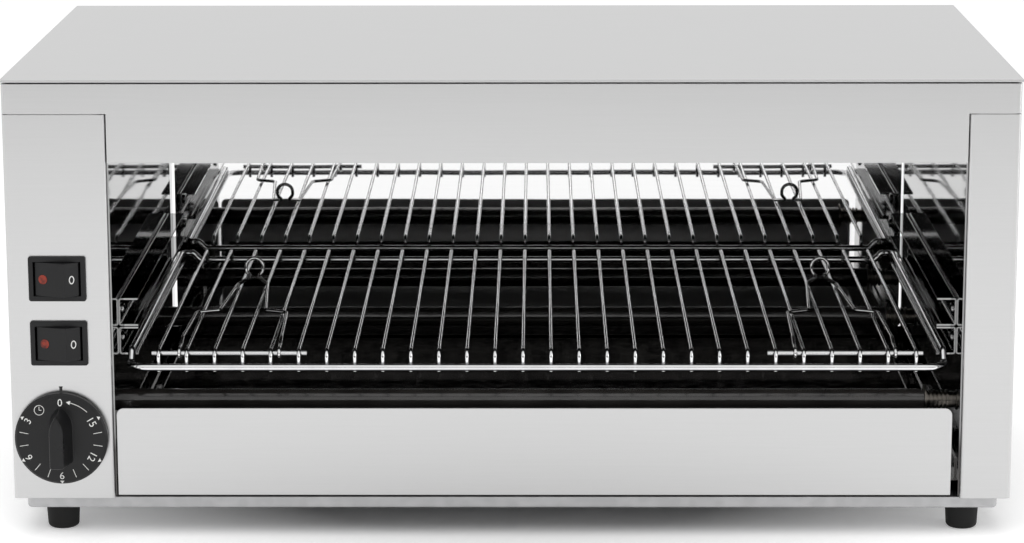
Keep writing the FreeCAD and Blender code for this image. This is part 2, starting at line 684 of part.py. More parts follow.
def liner(inner_x, outward):
    """Upright liner of one side; outward is -1 on the left and 1 on the right."""
    outer_x = inner_x + outward * LINER_SHEET
    foot_x = outer_x + outward * LINER_FOOT
    low = min(inner_x, outer_x)
    wall = box(low, low + LINER_SHEET, LINER_FRONT, BACK_WALL_Y, FLOOR_Z, LINER_TOP)
    foot = box(min(foot_x, outer_x), max(foot_x, outer_x), LINER_FRONT + FLANGE, BACK_WALL_Y,
               FLOOR_Z, FLOOR_Z + LINER_SHEET)
    tools = []
    for y, z in tubes_at():
        if outward < 0:
            radius = TUBE_RADIUS + TUBE_HOLE_GAP
        else:
            radius = FITTING_RADIUS + TUBE_HOLE_GAP
        tools.append(cylinder(radius, 4 * SHEET, vec(low - SHEET, y, z), X_AXIS))
    for y, z in rivet_places():
        tools.append(cylinder(RIVET_RADIUS + SCREW_CLEARANCE, 4 * SHEET, vec(low - SHEET, y, z), X_AXIS))
    return cut(join([wall, foot]), tools)


def ceiling_reflector():
    front = FLANGE + BEND
    left = CHAMBER_LEFT
    line = [vec(left, front, OPENING_TOP), vec(left, front, CEILING_Z), vec(left, BACK_WALL_Y, CEILING_Z)]
    sheet = folded_sheet(line[::-1], LINER_SHEET, BEND, X_AXIS * (CHAMBER_RIGHT - left))
    flanges = []
    for x in (left, CHAMBER_RIGHT - LINER_SHEET):
        flanges.append(box(x, x + LINER_SHEET, front + BEND, BACK_WALL_Y, CEILING_Z - LINER_SHEET / 2,
                           LINER_TOP))
    return join([sheet] + flanges)


def guide(z):
    """Rack guide on the left liner, a channel that opens to the right."""
    x = CHAMBER_LEFT
    line = [vec(x + GUIDE_DEPTH, GUIDE_FRONT, z), vec(x, GUIDE_FRONT, z),
            vec(x, GUIDE_FRONT, z + GUIDE_HEIGHT), vec(x + GUIDE_DEPTH, GUIDE_FRONT, z + GUIDE_HEIGHT)]
    channel = folded_sheet(line, GUIDE_SHEET, GUIDE_BEND, Y_AXIS * GUIDE_LENGTH)
    tools = []
    for y, rivet_z in rivet_places():
        tools.append(cylinder(RIVET_RADIUS + SCREW_CLEARANCE, 4 * SHEET, vec(x - SHEET, y, rivet_z), X_AXIS))
    return cut(channel, tools)


def guide_rivets():
    rivets = []
    inner = CHAMBER_LEFT + GUIDE_SHEET
    outer = OPEN_LEFT
    for y, z in rivet_places():
        shank = cylinder(RIVET_RADIUS, inner - outer + RIVET_HEAD, vec(outer - RIVET_HEAD / 2, y, z), X_AXIS)
        head = cylinder(RIVET_HEAD_RADIUS, RIVET_HEAD, vec(inner, y, z), X_AXIS)
        rim = [e for e in head.Edges if e.BoundBox.XMin > inner + RIVET_HEAD - 1e-6]
        head = head.makeFillet(RIVET_ROUND, rim)
        tail = cylinder(RIVET_TAIL_RADIUS, RIVET_HEAD, vec(outer - RIVET_HEAD, y, z), X_AXIS)
        rivet = join([shank, head, tail])
        rivets.append(rivet)
        rivets.append(mirror_x(rivet, OPEN_X))
    return Part.makeCompound(rivets)


def tray_runner():
    """Angle on the left liner that carries the edge of the crumb tray."""
    x = CHAMBER_LEFT
    front = LINER_FRONT + FLANGE
    back = BACK_WALL_Y - FLANGE
    low = RUNNER_TOP - LINER_SHEET
    leg = box(x, x + RUNNER_WIDTH, front, back, low, RUNNER_TOP)
    upright = box(x, x + LINER_SHEET, front, back, low, RUNNER_TOP + RUNNER_HEIGHT)
    return join([leg, upright])


# Rack

def frame_half(bar_x):
    """One half of the rack's closed frame wire, from the front bar's middle to the back bar's."""
    inward = 1 if bar_x < OPEN_X else -1
    front_low = vec(bar_x, FRONT_BAR_Y, FRONT_BAR_Z)
    step_high = vec(bar_x, GUIDE_FRONT - FRAME_WIRE_RADIUS, SIDE_BAR_Z)
    step_low = vec(bar_x, step_high.y - SIDE_STEP_RUN, FRONT_BAR_Z)
    back_corner = vec(bar_x, BACK_BAR_Y, SIDE_BAR_Z)
    dip_start = vec(bar_x + inward * (BACK_CORNER + SIDE_STEP_BEND), BACK_BAR_Y, SIDE_BAR_Z)
    dip_end = vec(dip_start.x + inward * BACK_DIP_RUN, BACK_BAR_Y, BACK_BAR_Z)
    points = [vec(OPEN_X, FRONT_BAR_Y, FRONT_BAR_Z), front_low, step_low, step_high, back_corner,
              dip_start, dip_end, vec(OPEN_X, BACK_BAR_Y, BACK_BAR_Z)]
    front_corner = min(FRAME_CORNER, step_low.y - FRONT_BAR_Y - SIDE_STEP_BEND / 2)
    radii = [front_corner, SIDE_STEP_BEND, SIDE_STEP_BEND, BACK_CORNER, SIDE_STEP_BEND, SIDE_STEP_BEND]
    return bent_wire(points, radii, FRAME_WIRE_RADIUS)


def rack_frame():
    return join([frame_half(FRAME_LEFT), frame_half(FRAME_RIGHT)])


def rod_positions():
    return [OPEN_X + (i - (ROD_COUNT - 1) / 2) * ROD_PITCH for i in range(ROD_COUNT)]


def rack_rods():
    front_foot = FRONT_BAR_Z - FRAME_WIRE_RADIUS - ROD_FRONT_REACH / 2
    back_foot = BACK_BAR_Z - ROD_BACK_REACH
    points = [vec(0, ROD_FRONT_Y, front_foot), vec(0, ROD_FRONT_Y, ROD_Z),
              vec(0, ROD_BACK_Y, ROD_Z), vec(0, ROD_BACK_Y, back_foot)]
    rod = bent_wire(points, [ROD_BEND, ROD_BEND], ROD_RADIUS)
    return Part.makeCompound([rod.translated(vec(x, 0, 0)) for x in rod_positions()])


def handle_centres():
    return (OPEN_X - HANDLE_X, OPEN_X + HANDLE_X)


def rack_cross_bars():
    bars = []
    for x in handle_centres():
        start = vec(x - HANDLE_BAR_LENGTH / 2, HANDLE_BAR_Y, HANDLE_BAR_Z)
        bars.append(cylinder(HANDLE_BAR_RADIUS, HANDLE_BAR_LENGTH, start, X_AXIS))
    return Part.makeCompound(bars)


def eye_arc(x):
    """Three quarters of a turn of wire around the short bar, as start, middle and end."""
    centre = vec(x, HANDLE_BAR_Y, HANDLE_BAR_Z)
    slant = HANDLE_EYE_RADIUS * math.sqrt(0.5)
    return (centre + Y_AXIS * HANDLE_EYE_RADIUS, centre - vec(0, slant, slant),
            centre + Z_AXIS * HANDLE_EYE_RADIUS)


def wire_handle(centre):
    """Bent wire handle: two eyes on the short bar, legs, a step inwards and an upright ring at the end."""
    eye_rise = HANDLE_BAR_Z + HANDLE_EYE_RADIUS
    half = [(HANDLE_LEG, 0.0, eye_rise), (HANDLE_LEG, HANDLE_RISE_START, eye_rise),
            (HANDLE_LEG, HANDLE_RISE_END, HANDLE_Z), (HANDLE_KNEE, HANDLE_KNEE_Y, HANDLE_Z),
            (HANDLE_STEP, HANDLE_STEP_Y, HANDLE_Z), (HANDLE_SHOULDER, HANDLE_SHOULDER_Y, HANDLE_Z),
            (HANDLE_NECK, HANDLE_NECK_Y, HANDLE_Z + HANDLE_NECK_RISE),
            (HANDLE_RING, HANDLE_NECK_Y + HANDLE_RING_LEAN, HANDLE_Z + HANDLE_RING_LOW),
            (HANDLE_RING, HANDLE_NECK_Y + 2 * HANDLE_RING_LEAN, HANDLE_Z + HANDLE_RING_HIGH)]
    left = [vec(centre - x, HANDLE_BAR_Y + y, z) for x, y, z in half]
    right = [vec(centre + x, HANDLE_BAR_Y + y, z) for x, y, z in half]
    left_eye = eye_arc(centre - HANDLE_LEG)
    right_eye = eye_arc(centre + HANDLE_LEG)
    edges = [Part.Arc(*left_eye).toShape()]
    edges.extend(rounded_path(left + right[::-1], HANDLE_BENDS + HANDLE_BENDS[::-1]))
    edges.append(Part.Arc(*right_eye[::-1]).toShape())
    profile = Part.Wire(Part.Circle(left_eye[0], Z_AXIS, HANDLE_WIRE_RADIUS).toShape())
    return Part.Wire(edges).makePipeShell([profile], True, False)


# Crumb tray

def tray_front():
    half = TRAY_FRONT_WIDTH / 2
    left = TRAY_X - half
    right = TRAY_X + half
    plate = box(left, right, 0, SHEET, TRAY_FRONT_BOTTOM, TRAY_FRONT_TOP)
    corners = [e for e in plate.Edges if abs(e.BoundBox.YLength - SHEET) < 1e-6
               and e.BoundBox.ZMin > TRAY_FRONT_TOP - 1e-6]
    plate = plate.makeFillet(TRAY_CORNER, corners)
    flange_top = TRAY_FRONT_TOP - TRAY_FLANGE_DROP
    pieces = [plate]
    for x in (left, right - SHEET):
        pieces.append(box(x, x + SHEET, SHEET, TRAY_FLANGE, TRAY_FRONT_BOTTOM, flange_top))
    pieces.append(box(left, right, SHEET, TRAY_FLANGE / 2, TRAY_FRONT_BOTTOM, TRAY_FRONT_BOTTOM + SHEET))
    return join(pieces)


def tray_pan():
    half = TRAY_PAN_WIDTH / 2
    back = BACK_WALL_Y - TRAY_BACK_GAP
    low = TRAY_FLOOR_Z - TRAY_SHEET
    outer = box(TRAY_X - half, TRAY_X + half, SHEET, back, low, low + TRAY_WALL)
    inner = box(TRAY_X - half + TRAY_SHEET, TRAY_X + half - TRAY_SHEET, SHEET + TRAY_SHEET,
                back - TRAY_SHEET, TRAY_FLOOR_Z, low + 2 * TRAY_WALL)
    return outer.cut(inner)


# Heating elements

def quartz_tube(y, z):
    length = TUBE_RIGHT - TUBE_LEFT
    outer = cylinder(TUBE_RADIUS, length, vec(TUBE_LEFT, y, z), X_AXIS)
    return outer.cut(cylinder(TUBE_RADIUS - TUBE_WALL, length, vec(TUBE_LEFT, y, z), X_AXIS))


def quartz_tubes(places):
    return Part.makeCompound([quartz_tube(y, z) for y, z in places])


def heating_coils(places):
    """Resistance winding of each tube as one closed core, between the two end pieces."""
    length = TUBE_RIGHT - TUBE_LEFT
    return Part.makeCompound([cylinder(COIL_RADIUS, length, vec(TUBE_LEFT, y, z), X_AXIS)
                              for y, z in places])


def left_end_caps():
    """Ceramic caps over the left tube ends, outside the liner, with their screw terminals."""
    caps = []
    for y, z in tubes_at():
        body = cylinder(CAP_RADIUS, CAP_LENGTH + SHEET, vec(TUBE_LEFT - SHEET, y, z), X_AXIS)
        socket = cylinder(TUBE_RADIUS + TUBE_HOLE_GAP, CAP_LENGTH, vec(TUBE_LEFT, y, z), X_AXIS)
        stud = cylinder(TERMINAL_RADIUS, TERMINAL_LENGTH, vec(TERMINAL_LEFT, y, z), X_AXIS)
        caps.append(join([body.cut(socket), stud]))
    return Part.makeCompound(caps)


def right_end_fittings():
    """Ribbed metal fittings that hold the right tube ends and pass out through the liner."""
    fittings = []
    for y, z in tubes_at():
        stem = cylinder(FITTING_RADIUS, FITTING_RIGHT - TUBE_RIGHT, vec(TUBE_RIGHT, y, z), X_AXIS)
        stud = cylinder(TERMINAL_RADIUS, TERMINAL_LENGTH, vec(FITTING_RIGHT, y, z), X_AXIS)
        collar = cylinder(FITTING_RING_RADIUS, CLIP_SHEET, vec(TUBE_RIGHT, y, z), X_AXIS)
        pieces = [stem, stud, collar]
        pitch = (TUBE_RIGHT_GAP - CLIP_SHEET) / (FITTING_RINGS + 1)
        for i in range(FITTING_RINGS):
            start = TUBE_RIGHT + CLIP_SHEET + pitch * (i + 0.5)
            pieces.append(cylinder(FITTING_RING_RADIUS, pitch / 2, vec(start, y, z), X_AXIS))
        fittings.append(join(pieces))
    return Part.makeCompound(fittings)


def tube_clips():
    """Round clip plates on the right tube ends."""
    clips = []
    for y, z in tubes_at():
        plate = cylinder(CLIP_RADIUS, CLIP_SHEET, vec(TUBE_RIGHT - CLIP_SHEET, y, z), X_AXIS)
        hole = cylinder(TUBE_RADIUS + SHAFT_GAP, CLIP_SHEET, vec(TUBE_RIGHT - CLIP_SHEET, y, z), X_AXIS)
        clips.append(plate.cut(hole))
    return Part.makeCompound(clips)


def element_links():
    """Flat link bars that join the front and back tube of each pair outside the right liner."""
    links = []
    for z in (TUBE_LOW_Z, TUBE_HIGH_Z):
        half = LINK_WIDTH / 2
        bar = box(FITTING_RIGHT, FITTING_RIGHT + LINK_SHEET, TUBE_FRONT_Y - half, TUBE_BACK_Y + half,
                  z - half, z + half)
        holes = []
        for y in (TUBE_FRONT_Y, TUBE_BACK_Y):
            start = vec(FITTING_RIGHT - LINK_SHEET, y, z)
            holes.append(cylinder(TERMINAL_RADIUS + SHAFT_GAP, 3 * LINK_SHEET, start, X_AXIS))
        links.append(cut(bar, holes))
    return Part.makeCompound(links)


# Switches

def switch_housing(z):
    half_width = BEZEL_WIDTH / 2
    half_height = BEZEL_HEIGHT / 2
    bezel = box(SWITCH_X - half_width, SWITCH_X + half_width, -BEZEL_PROUD, 0,
                z - half_height, z + half_height)
    upright = [e for e in bezel.Edges if abs(e.BoundBox.YLength - BEZEL_PROUD) < 1e-6]
    bezel = bezel.makeFillet(BEZEL_CORNER, upright)
    face = [e for e in bezel.Edges if e.BoundBox.YMax < -BEZEL_PROUD + 1e-6]
    bezel = bezel.makeFillet(BEZEL_ROUND, face)
    body = box(SWITCH_X - SWITCH_BODY_WIDTH / 2, SWITCH_X + SWITCH_BODY_WIDTH / 2, 0, SWITCH_BODY_DEPTH,
               z - SWITCH_BODY_HEIGHT / 2, z + SWITCH_BODY_HEIGHT / 2)
    well_half = ROCKER_SWING_RADIUS + ROCKER_GAP
    well_height = ROCKER_HEIGHT / 2 + ROCKER_GAP
    well = box(SWITCH_X - well_half, SWITCH_X + well_half, -2 * BEZEL_PROUD,
               SWITCH_BODY_DEPTH - SWITCH_FLOOR, z - well_height, z + well_height)
    pin_reach = pin_half() + PIN_END_GAP
    pin_hole = cylinder(ROCKER_PIN_RADIUS + ROCKER_PIN_GAP, 2 * pin_reach,
                        vec(SWITCH_X, ROCKER_PIVOT_Y, z - pin_reach), Z_AXIS)
    return cut(join([bezel, body]), [well, pin_hole])


def pin_half():
    """Half length of the pin that a rocker turns on, seated in the housing's walls."""
    return ROCKER_HEIGHT / 2 + ROCKER_GAP + PIN_SEAT - PIN_END_GAP


def rocker_turn(shape, z):
    """Turns a switch piece from the level position to the rest position, right side pressed."""
    return shape.rotated(vec(SWITCH_X, ROCKER_PIVOT_Y, z), Z_AXIS, ROCKER_TILT)


def rocker_face():
    """Left end, ridge and right end of the rocker's face in the level position, seen from above."""
    reach = ROCKER_SWING_RADIUS
    return (vec(SWITCH_X - reach, ROCKER_LEFT_SUNK, 0), vec(SWITCH_X + ROCKER_RIDGE_X, -ROCKER_RIDGE_PROUD, 0),
            vec(SWITCH_X + reach, -ROCKER_RIGHT_PROUD, 0))


def lens_place(z):
    """Middle of the lens on the rocker's left face, and the direction it looks in."""
    left, ridge, _ = rocker_face()
    along = (ridge - left).normalize()
    outward = along.cross(Z_AXIS)
    x = SWITCH_X - LENS_OFFSET
    return left + along * ((x - left.x) / along.x) + Z_AXIS * z, outward


def rocker(z):
    low = z - ROCKER_HEIGHT / 2
    back = ROCKER_PIVOT_Y + ROCKER_DEPTH
    swing = cylinder(ROCKER_SWING_RADIUS, ROCKER_HEIGHT, vec(SWITCH_X, ROCKER_PIVOT_Y, low), Z_AXIS)
    left, ridge, right = rocker_face()
    outline = [vec(left.x, back, 0), left, ridge, right, vec(right.x, back, 0)]
    outline = [point + Z_AXIS * low for point in outline]
    prism = Part.Face(Part.makePolygon(outline + outline[:1])).extrude(Z_AXIS * ROCKER_HEIGHT)
    pin = cylinder(ROCKER_PIN_RADIUS, 2 * pin_half(), vec(SWITCH_X, ROCKER_PIVOT_Y, z - pin_half()), Z_AXIS)
    body = join([prism.common(swing), pin])
    place, outward = lens_place(z)
    pocket = cylinder(LENS_RADIUS + FIT_GAP, 2 * LENS_DEPTH, place - outward * LENS_DEPTH, outward)
    return rocker_turn(cut(body, [pocket]), z)


def neon_lens(z):
    place, outward = lens_place(z)
    lens = cylinder(LENS_RADIUS, LENS_DEPTH + LENS_PROUD, place - outward * LENS_DEPTH, outward)
    return rocker_turn(lens, z)


def switch_terminals():
    tabs = []
    for z in SWITCH_ZS:
        for dx in (-SWITCH_BODY_WIDTH / 4, SWITCH_BODY_WIDTH / 4):
            for dz in (-SWITCH_BODY_HEIGHT / 4, SWITCH_BODY_HEIGHT / 4):
                x = SWITCH_X + dx
                low = z + dz - TAB_WIDTH / 2
                tabs.append(box(x - TAB_THICKNESS / 2, x + TAB_THICKNESS / 2, SWITCH_BODY_DEPTH,
                                SWITCH_BODY_DEPTH + TAB_LENGTH, low, low + TAB_WIDTH))
    return Part.makeCompound(tabs)


# Timer

def timer_body():
    half = TIMER_BODY / 2
    case = box(TIMER_X - half, TIMER_X + half, SHEET, SHEET + TIMER_DEPTH, TIMER_Z - half, TIMER_Z + half)
    upright = [e for e in case.Edges if abs(e.BoundBox.YLength - TIMER_DEPTH) < 1e-6]
    case = case.makeFillet(TIMER_CORNER, upright)
    hole = cylinder(SHAFT_RADIUS + SHAFT_GAP, SHAFT_INSIDE, vec(TIMER_X, SHEET, TIMER_Z), Y_AXIS)
    tools = [hole]
    for side in (-1, 1):
        base = vec(TIMER_X + side * TIMER_SCREW_SPREAD, SHEET, TIMER_Z)
        tools.append(cylinder(TIMER_SCREW_RADIUS + SCREW_CLEARANCE, TIMER_SCREW_LENGTH, base, Y_AXIS))
    tabs = []
    for dx in (-half / 2, half / 2):
        left = TIMER_X + dx - TAB_WIDTH / 2
        low = TIMER_Z - TAB_THICKNESS / 2
        tabs.append(box(left, left + TAB_WIDTH, SHEET + TIMER_DEPTH, SHEET + TIMER_DEPTH + TAB_LENGTH,
                        low, low + TAB_THICKNESS))
    return cut(join([case] + tabs), tools)


def timer_screws():
    screws = []
    for side in (-1, 1):
        x = TIMER_X + side * TIMER_SCREW_SPREAD
        head = cylinder(TIMER_SCREW_HEAD_RADIUS, TIMER_SCREW_HEAD, vec(x, -TIMER_SCREW_HEAD, TIMER_Z), Y_AXIS)
        shank = cylinder(TIMER_SCREW_RADIUS, TIMER_SCREW_LENGTH, vec(x, -TIMER_SCREW_HEAD, TIMER_Z), Y_AXIS)
        screws.append(join([head, shank]))
    return Part.makeCompound(screws)


def timer_shaft():
    length = SHAFT_REACH + SHEET + SHAFT_INSIDE - SHAFT_END_GAP
    return cylinder(SHAFT_RADIUS, length, vec(TIMER_X, -SHAFT_REACH, TIMER_Z), Y_AXIS)


def timer_knob():
    """Round skirt with a straight grip bar across it, bored for the shaft."""
    back = -KNOB_CLEARANCE
    face = back - KNOB_SKIRT
    profile = [vec(0, back, 0), vec(KNOB_RADIUS, back, 0), vec(KNOB_RADIUS, face + KNOB_RIM_DROP, 0),
               vec(KNOB_RADIUS - KNOB_RIM_ROUND, face + KNOB_RIM_DROP / 3, 0),
               vec(KNOB_RADIUS - KNOB_SLOPE, face, 0), vec(0, face, 0)]
    skirt = Part.Face(Part.makePolygon(profile + profile[:1])).revolve(vec(0, 0, 0), Y_AXIS, 360)
    low = grip_outline(GRIP_BASE / 2, 0, face + GRIP_SINK)
    ridge = grip_outline(GRIP_RIDGE / 2, GRIP_DRAFT, -KNOB_REACH)
    grip = Part.makeLoft([low, ridge], True, True)
    slope = math.degrees(math.atan(GRIP_SLOPE_DROP / GRIP_TIP))
    above = box(-KNOB_RADIUS, KNOB_RADIUS, -2 * KNOB_REACH, -KNOB_REACH, 0, 2 * KNOB_RADIUS)
    above.rotate(vec(0, -KNOB_REACH, 0), X_AXIS, slope)
    grip = grip.cut(above)
    rim = [e for e in grip.Edges if e.BoundBox.YMax < -KNOB_REACH + GRIP_SLOPE_DROP]
    grip = grip.makeFillet(GRIP_ROUND, rim)
    knob = join([skirt, grip]).translated(vec(TIMER_X, 0, TIMER_Z))
    bore_depth = SHAFT_REACH + SHAFT_END_GAP
    bore = cylinder(SHAFT_RADIUS + FIT_GAP, bore_depth, vec(TIMER_X, -bore_depth, TIMER_Z), Y_AXIS)
    return cut(knob, [bore])


def grip_outline(half, inset, y):
    """Outline of the grip in the plane of the panel: flat at the bottom, pointed like an arch at the tip."""
    bottom = -GRIP_BOTTOM + inset
    tip = GRIP_TIP - inset
    rise = tip - GRIP_SHOULDER
    radius = (rise * rise + half * half) / (2 * half)
    angle = math.asin(rise / radius) / 2
    bulge = half - radius * (1 - math.cos(angle))
    flank = GRIP_SHOULDER + radius * math.sin(angle)
    corner = GRIP_CORNER
    middle = vec(0, y, bottom)
    shoulder = vec(half, y, GRIP_SHOULDER)
    right = rounded_path([middle, vec(half, y, bottom), shoulder], [corner])
    right.append(Part.Arc(shoulder, vec(bulge, y, flank), vec(0, y, tip)).toShape())
    left = [edge.mirror(vec(0, 0, 0), X_AXIS) for edge in right]
    return Part.Wire(Part.sortEdges(right + left)[0])


# Wiring

def block_place():
    x = OPEN_LEFT - LINER_FOOT
    y = REAR_INNER - BLOCK_BACK - BLOCK_LENGTH
    return x, y, FLOOR_Z + LINER_SHEET


def terminal_block():
    x, y, z = block_place()
    block = box(x, x + BLOCK_WIDTH, y, y + BLOCK_LENGTH, z, z + BLOCK_HEIGHT)
    tools = []
    pitch = BLOCK_LENGTH / BLOCK_POLES
    for i in range(BLOCK_POLES):
        base = vec(x + BLOCK_WIDTH / 2, y + pitch * (i + 0.5), z + BLOCK_HEIGHT - BLOCK_SCREW_HOLE)
        tools.append(cylinder(BLOCK_SCREW_RADIUS + SCREW_CLEARANCE, BLOCK_SCREW_HOLE, base, Z_AXIS))
    return cut(block, tools)


def block_screws():
    x, y, z = block_place()
    pitch = BLOCK_LENGTH / BLOCK_POLES
    screws = []
    for i in range(BLOCK_POLES):
        base = vec(x + BLOCK_WIDTH / 2, y + pitch * (i + 0.5), z + BLOCK_HEIGHT - BLOCK_SCREW_HOLE)
        screws.append(cylinder(BLOCK_SCREW_RADIUS, BLOCK_SCREW_HOLE - BLOCK_SCREW_SUNK, base, Z_AXIS))
    return Part.makeCompound(screws)


def earth_place():
    return -BODY_HALF + PAN_INSET_X + PAN_FLANGE / 2, REAR_INNER - 2 * FLANGE


def earth_hole(z, length):
    x, y = earth_place()
    return cylinder(EARTH_RADIUS + SCREW_CLEARANCE, length, vec(x, y, z), Z_AXIS)


def earth_stud():
    """Earth screw through the pan's flange and the side panel's floor flange, with its nut."""
    x, y = earth_place()
    under = PANEL_BOTTOM - SHEET
    head = cylinder(EARTH_NUT / 2, EARTH_HEAD, vec(x, y, under - EARTH_HEAD), Z_AXIS)
    shank = cylinder(EARTH_RADIUS, EARTH_LENGTH, vec(x, y, under), Z_AXIS)
    nut = hexagon(EARTH_NUT, EARTH_NUT_HEIGHT, vec(0, 0, 0))
    nut.rotate(vec(0, 0, 0), X_AXIS, 90)
    nut.translate(vec(x, y, FLOOR_Z))
    hole = cylinder(EARTH_RADIUS + FIT_GAP, EARTH_NUT_HEIGHT, vec(x, y, FLOOR_Z), Z_AXIS)
    return Part.makeCompound([join([head, shank]), nut.cut(hole)])


def wire_run(points):
    """Insulated wire whose every bend is as large as its two runs allow."""
    radii = []
    for i in range(1, len(points) - 1):
        before = points[i - 1] - points[i]
        after = points[i + 1] - points[i]
        half = before.getAngle(after) / 2
        radii.append(WIRE_BEND_SHARE * min(before.Length, after.Length) * math.tan(half))
    return bent_wire(points, radii, WIRE_RADIUS)


def switch_tab(z, side_x, side_z):
    """End of one switch tab: side_x and side_z are -1 or 1."""
    return vec(SWITCH_X + side_x * SWITCH_BODY_WIDTH / 4, SWITCH_BODY_DEPTH + TAB_LENGTH,
               z + side_z * SWITCH_BODY_HEIGHT / 4)


def block_entry(pole, height):
    """Place on the block's left side where a wire goes in."""
    x, y, z = block_place()
    return vec(x, y + BLOCK_LENGTH / BLOCK_POLES * (pole + 0.5), z + height)


def internal_wiring():
    """Wires of the control compartment, each from its first end to its last."""
    low_switch, high_switch = SWITCH_ZS
    stud_x = TERMINAL_LEFT
    feed_low = switch_tab(low_switch, -1, -1)
    feed_high = switch_tab(high_switch, -1, -1)
    timed = switch_tab(low_switch, 1, -1)
    timer_tab = vec(TIMER_X + TIMER_BODY / 4, SHEET + TIMER_DEPTH + TAB_LENGTH, TIMER_Z)
    heat_high = switch_tab(high_switch, 1, 1)
    heat_low = switch_tab(low_switch, 1, 1)
    front_high = vec(stud_x, TUBE_FRONT_Y, TUBE_HIGH_Z)
    front_low = vec(stud_x, TUBE_FRONT_Y, TUBE_LOW_Z)
    back_high = vec(stud_x, TUBE_BACK_Y, TUBE_HIGH_Z)
    back_low = vec(stud_x, TUBE_BACK_Y, TUBE_LOW_Z)
    pole_0 = block_entry(0, BLOCK_LOW_ENTRY)
    pole_1 = block_entry(1, BLOCK_LOW_ENTRY)
    pole_1_high = block_entry(1, BLOCK_HIGH_ENTRY)
    pole_2 = block_entry(2, BLOCK_LOW_ENTRY)
    pole_2_high = block_entry(2, BLOCK_HIGH_ENTRY)
    earth_x, earth_y = earth_place()
    lug = vec(earth_x + EARTH_NUT, earth_y - LUG_SETBACK, FLOOR_Z + WIRE_RADIUS + RUN_GAP)
    loom_low = vec(SWITCH_X - 7, LOOM_Y, low_switch - 32)
    loom_high = vec(SWITCH_X - 16, LOOM_Y, low_switch + 8)
    loom_back = vec(SWITCH_X - 8, LOOM_BACK_Y, low_switch - 32)
    routes = [
        [pole_0, pole_0 + vec(-10, 0, 0), pole_0 + vec(-15, -23, 12), loom_low,
         feed_low + vec(-1, 30, -3), feed_low + vec(0, 9, 0), feed_low],
        [pole_1, pole_1 + vec(-12, 0, 0), pole_1 + vec(-22, -27, 27), loom_high,
         feed_high + vec(-1, 30, -2), feed_high + vec(0, 9, 0), feed_high],
        [timer_tab, timer_tab + vec(0, 9, 0), timer_tab + vec(-1, 16, 22), timed + vec(0, 16, -2),
         timed + vec(0, 8, 0), timed],
        [heat_high, heat_high + vec(0, 10, 0), heat_high + vec(-7, 19, 20), front_high + vec(-11, 5, -16),
         front_high + vec(-9, 0, 0), front_high],
        [heat_low, heat_low + vec(0, 9, 0), heat_low + vec(-11, 17, -14), front_low + vec(-14, 3, 10),
         front_low + vec(-9, 0, 0), front_low],
        [back_low, back_low + vec(-9, 0, 0), back_low + vec(-12, -2, -15), pole_1_high + vec(-10, 0, 0),
         pole_1_high],
        [back_high, back_high + vec(-9, 0, 0), back_high + vec(-16, 3, -26), loom_back,
         pole_2_high + vec(-11, 0, 0), pole_2_high],
        [pole_2, pole_2 + vec(-9, 0, 0), lug],
    ]
    return Part.makeCompound([wire_run(route) for route in routes])


def nodes():
    """Name of every node with its shape."""
    left_liner = liner(CHAMBER_LEFT, -1)
    low_guide = guide(GUIDE_LOW_Z)
    high_guide = guide(GUIDE_HIGH_Z)
    runner = tray_runner()
    places = tubes_at()
    left_x, right_x = handle_centres()
    shapes = {
        "lid": lid(),
        "front_header": header(),
        "left_side_panel": left_side_panel(),
        "right_side_panel": right_side_panel(),
        "back_panel": back_panel(),
        "base_pan": base_pan(),
        "rubber_feet": rubber_feet(),
        "foot_screws": foot_screws(),
        "back_screws": back_screws(),
        "lid_screws": lid_screws(),
        "cable_gland": cable_gland(),
        "gland_nut": gland_nut(),
        "left_liner": left_liner,
        "right_liner": liner(CHAMBER_RIGHT, 1),
        "ceiling_reflector": ceiling_reflector(),
        "lower_left_guide": low_guide,
        "upper_left_guide": high_guide,
        "lower_right_guide": mirror_x(low_guide, OPEN_X),
        "upper_right_guide": mirror_x(high_guide, OPEN_X),
        "guide_rivets": guide_rivets(),
        "left_tray_runner": runner,
        "right_tray_runner": mirror_x(runner, OPEN_X),
        "rack_frame": rack_frame(),
        "rack_rods": rack_rods(),
        "rack_cross_bars": rack_cross_bars(),
        "left_wire_handle": wire_handle(left_x),
        "right_wire_handle": wire_handle(right_x),
        "tray_front": tray_front(),
        "tray_pan": tray_pan(),
        "lower_quartz_tubes": quartz_tubes(places[:2]),
        "upper_quartz_tubes": quartz_tubes(places[2:]),
        "lower_heating_coils": heating_coils(places[:2]),
        "upper_heating_coils": heating_coils(places[2:]),
        "left_end_caps": left_end_caps(),
        "right_end_fittings": right_end_fittings(),
        "tube_clips": tube_clips(),
        "lower_switch_housing": switch_housing(SWITCH_ZS[0]),
        "upper_switch_housing": switch_housing(SWITCH_ZS[1]),
        "lower_rocker": rocker(SWITCH_ZS[0]),
        "upper_rocker": rocker(SWITCH_ZS[1]),
        "lower_neon_lens": neon_lens(SWITCH_ZS[0]),
        "upper_neon_lens": neon_lens(SWITCH_ZS[1]),
        "switch_terminals": switch_terminals(),
        "timer_body": timer_body(),
        "timer_screws": timer_screws(),
        "timer_shaft": timer_shaft(),
        "timer_knob": timer_knob(),
        "terminal_block": terminal_block(),
        "block_screws": block_screws(),
        "earth_stud": earth_stud(),
        "element_links": element_links(),
        "internal_wiring": internal_wiring(),
    }
    return shapes


def main():
    os.makedirs("parts", exist_ok=True)
    for name, shape in nodes().items():
        placed = shape.translated(vec(0, SHIFT_Y, 0))
        if not placed.isValid():
            print("not valid:", name)
        placed.exportStep("parts/" + name + ".step")
        print(name, len(placed.Solids), round(placed.Volume, 1))


main()
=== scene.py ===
import math
import random

import bmesh
import bpy
from bpy.props import FloatProperty, FloatVectorProperty, IntProperty, PointerProperty
from mathutils import Matrix, Vector


